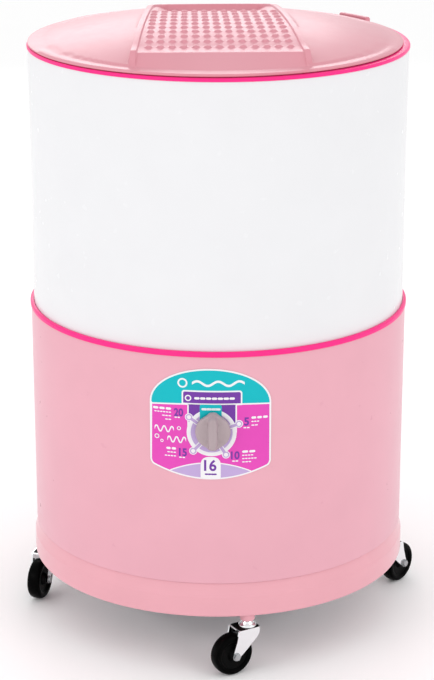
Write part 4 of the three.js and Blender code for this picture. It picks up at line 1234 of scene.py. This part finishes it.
def hose_holder():
    """Bracket moulded to hook over the rim, with a spring clip for a hose end."""
    lo, hi = box("hose_holder")
    z0, top = lo[2], hi[2]
    inside, outside = R_RING + 0.4, R_RING + 4.4
    seat = ring_hi[2] + 0.4
    hook = [
        (286.4, seat), (286.4, top - 1.6), (288, top), (outside - 2.6, top), (outside, top - 3),
        (outside, z0 + 0.8), (outside - 0.8, z0), (inside, z0), (inside, seat),
    ]
    span = HOLDER_AZIMUTH - HOLDER_HALF, HOLDER_AZIMUTH + HOLDER_HALF
    bracket = sweep("hose_bracket", rounded(hook, 0.8, 3), *span, 24, LID_PINK)
    belongs(bevel(bracket, 0.7, 2), "cabinet", "pink_plastic", "hose_holder")

    def upright(r0, r1):
        return [(r0, CLIP_BOTTOM), (r1, CLIP_BOTTOM), (r1, CLIP_TOP), (r0, CLIP_TOP)]

    holder = sweep("hose_clip", rounded(upright(9, 11.9), 0.9, 3), CLIP_GAP + 1, 359 - CLIP_GAP, 44, LID_PINK)
    lips = []
    for a in np.radians([CLIP_GAP, -CLIP_GAP]):
        place = moved(10.6 * math.cos(a), 10.6 * math.sin(a), 0)
        lips.append(lathe("lip", rounded(upright(0, 2), 0.6, 2), LID_PINK, 24, at=place))
    rib = slab("rib", rectangle(-12.6, -2, -8.8, 2), CLIP_BOTTOM + 1, CLIP_TOP - 1, LID_PINK)
    holder = join(holder, rib, *lips)
    spot = outside + 10.9
    a = math.radians(HOLDER_AZIMUTH)
    holder.data.transform(moved(spot * math.cos(a), spot * math.sin(a), 0, turn=HOLDER_AZIMUTH))
    belongs(holder, "cabinet", "pink_plastic")


belongs(drain_spout(), "cabinet", "hose_grey", "drain_spout")
belongs(cord_gland(), "cabinet", "black_plastic", "power_cord_gland")
hose_holder()

# ------------------------------------------------------------------ CAD parts that stay

DRESS = {
    "drive_crossbrace": GALVANISED, "bearing_housing": CAST, "shaft_seal": RUBBER, "agitator_shaft": BRUSHED,
    "gearbox_case": CAST, "gearbox_input_shaft": BRUSHED, "gearbox_pulley": CAST, "drive_belt": RUBBER,
    "motor_pulley": CAST, "motor_shaft": BRUSHED, "motor_housing": MOTOR_GREY, "motor_bracket": GALVANISED,
    "motor_pad_1": RUBBER, "motor_pad_2": RUBBER, "motor_pad_3": RUBBER, "run_capacitor": TUB_WHITE,
    "timer_housing": BLACK_SATIN, "timer_shaft": BRUSHED, "timer_nut": ZINC, "timer_harness": BLACK_SATIN,
    "drain_elbow": TUB_WHITE, "drain_hose": GREY_PLASTIC,
}
for node, look in DRESS.items():
    ob = frame["nodes"][node]
    if not ob.material_slots:
        ob.data.materials.append(look)
    for material_slot in ob.material_slots:
        material_slot.material = look

# ------------------------------------------------------------------ floor and light


AIM = Vector((0, 0, 0.4))  # what the softboxes point at
FLOOR_HALF = 14.0


def softbox(name, azimuth, elevation, distance, width, height, power):
    """A soft light, seen from the washer at an azimuth from the front, towards +X, and an elevation."""
    a, e = math.radians(azimuth), math.radians(elevation)
    away = Vector((math.sin(a) * math.cos(e), -math.cos(a) * math.cos(e), math.sin(e))) * distance
    data = bpy.data.lights.new(name, "AREA")
    data.shape, data.size, data.size_y, data.energy = "RECTANGLE", width, height, power
    lamp = added(name, data)
    lamp.location = AIM + away
    lamp.rotation_mode = "QUATERNION"
    lamp.rotation_quaternion = (-away).to_track_quat("-Z", "Y")


def studio():
    bm = bmesh.new()
    bmesh.ops.create_grid(bm, x_segments=8, y_segments=8, size=FLOOR_HALF)
    mesh = bpy.data.meshes.new("floor")
    bm.to_mesh(mesh)
    bm.free()
    mesh.materials.append(FLOOR)
    floor = added("floor", mesh)

    world = bpy.data.worlds.new("studio")
    bpy.context.scene.world = world
    world.use_nodes = True
    background = world.node_tree.nodes["Background"]
    background.inputs["Color"].default_value = (1, 1, 1, 1)
    background.inputs["Strength"].default_value = 1.0

    softbox("left_softbox", -50, 22.7, 2.8, 1.6, 0.3, 10)
    softbox("right_softbox", 50, 22.7, 2.8, 1.4, 0.3, 8)
    softbox("back_softbox", 187, 24, 4.0, 1.9, 0.9, 17)


studio()
bpy.context.scene.view_settings.view_transform = "Standard"
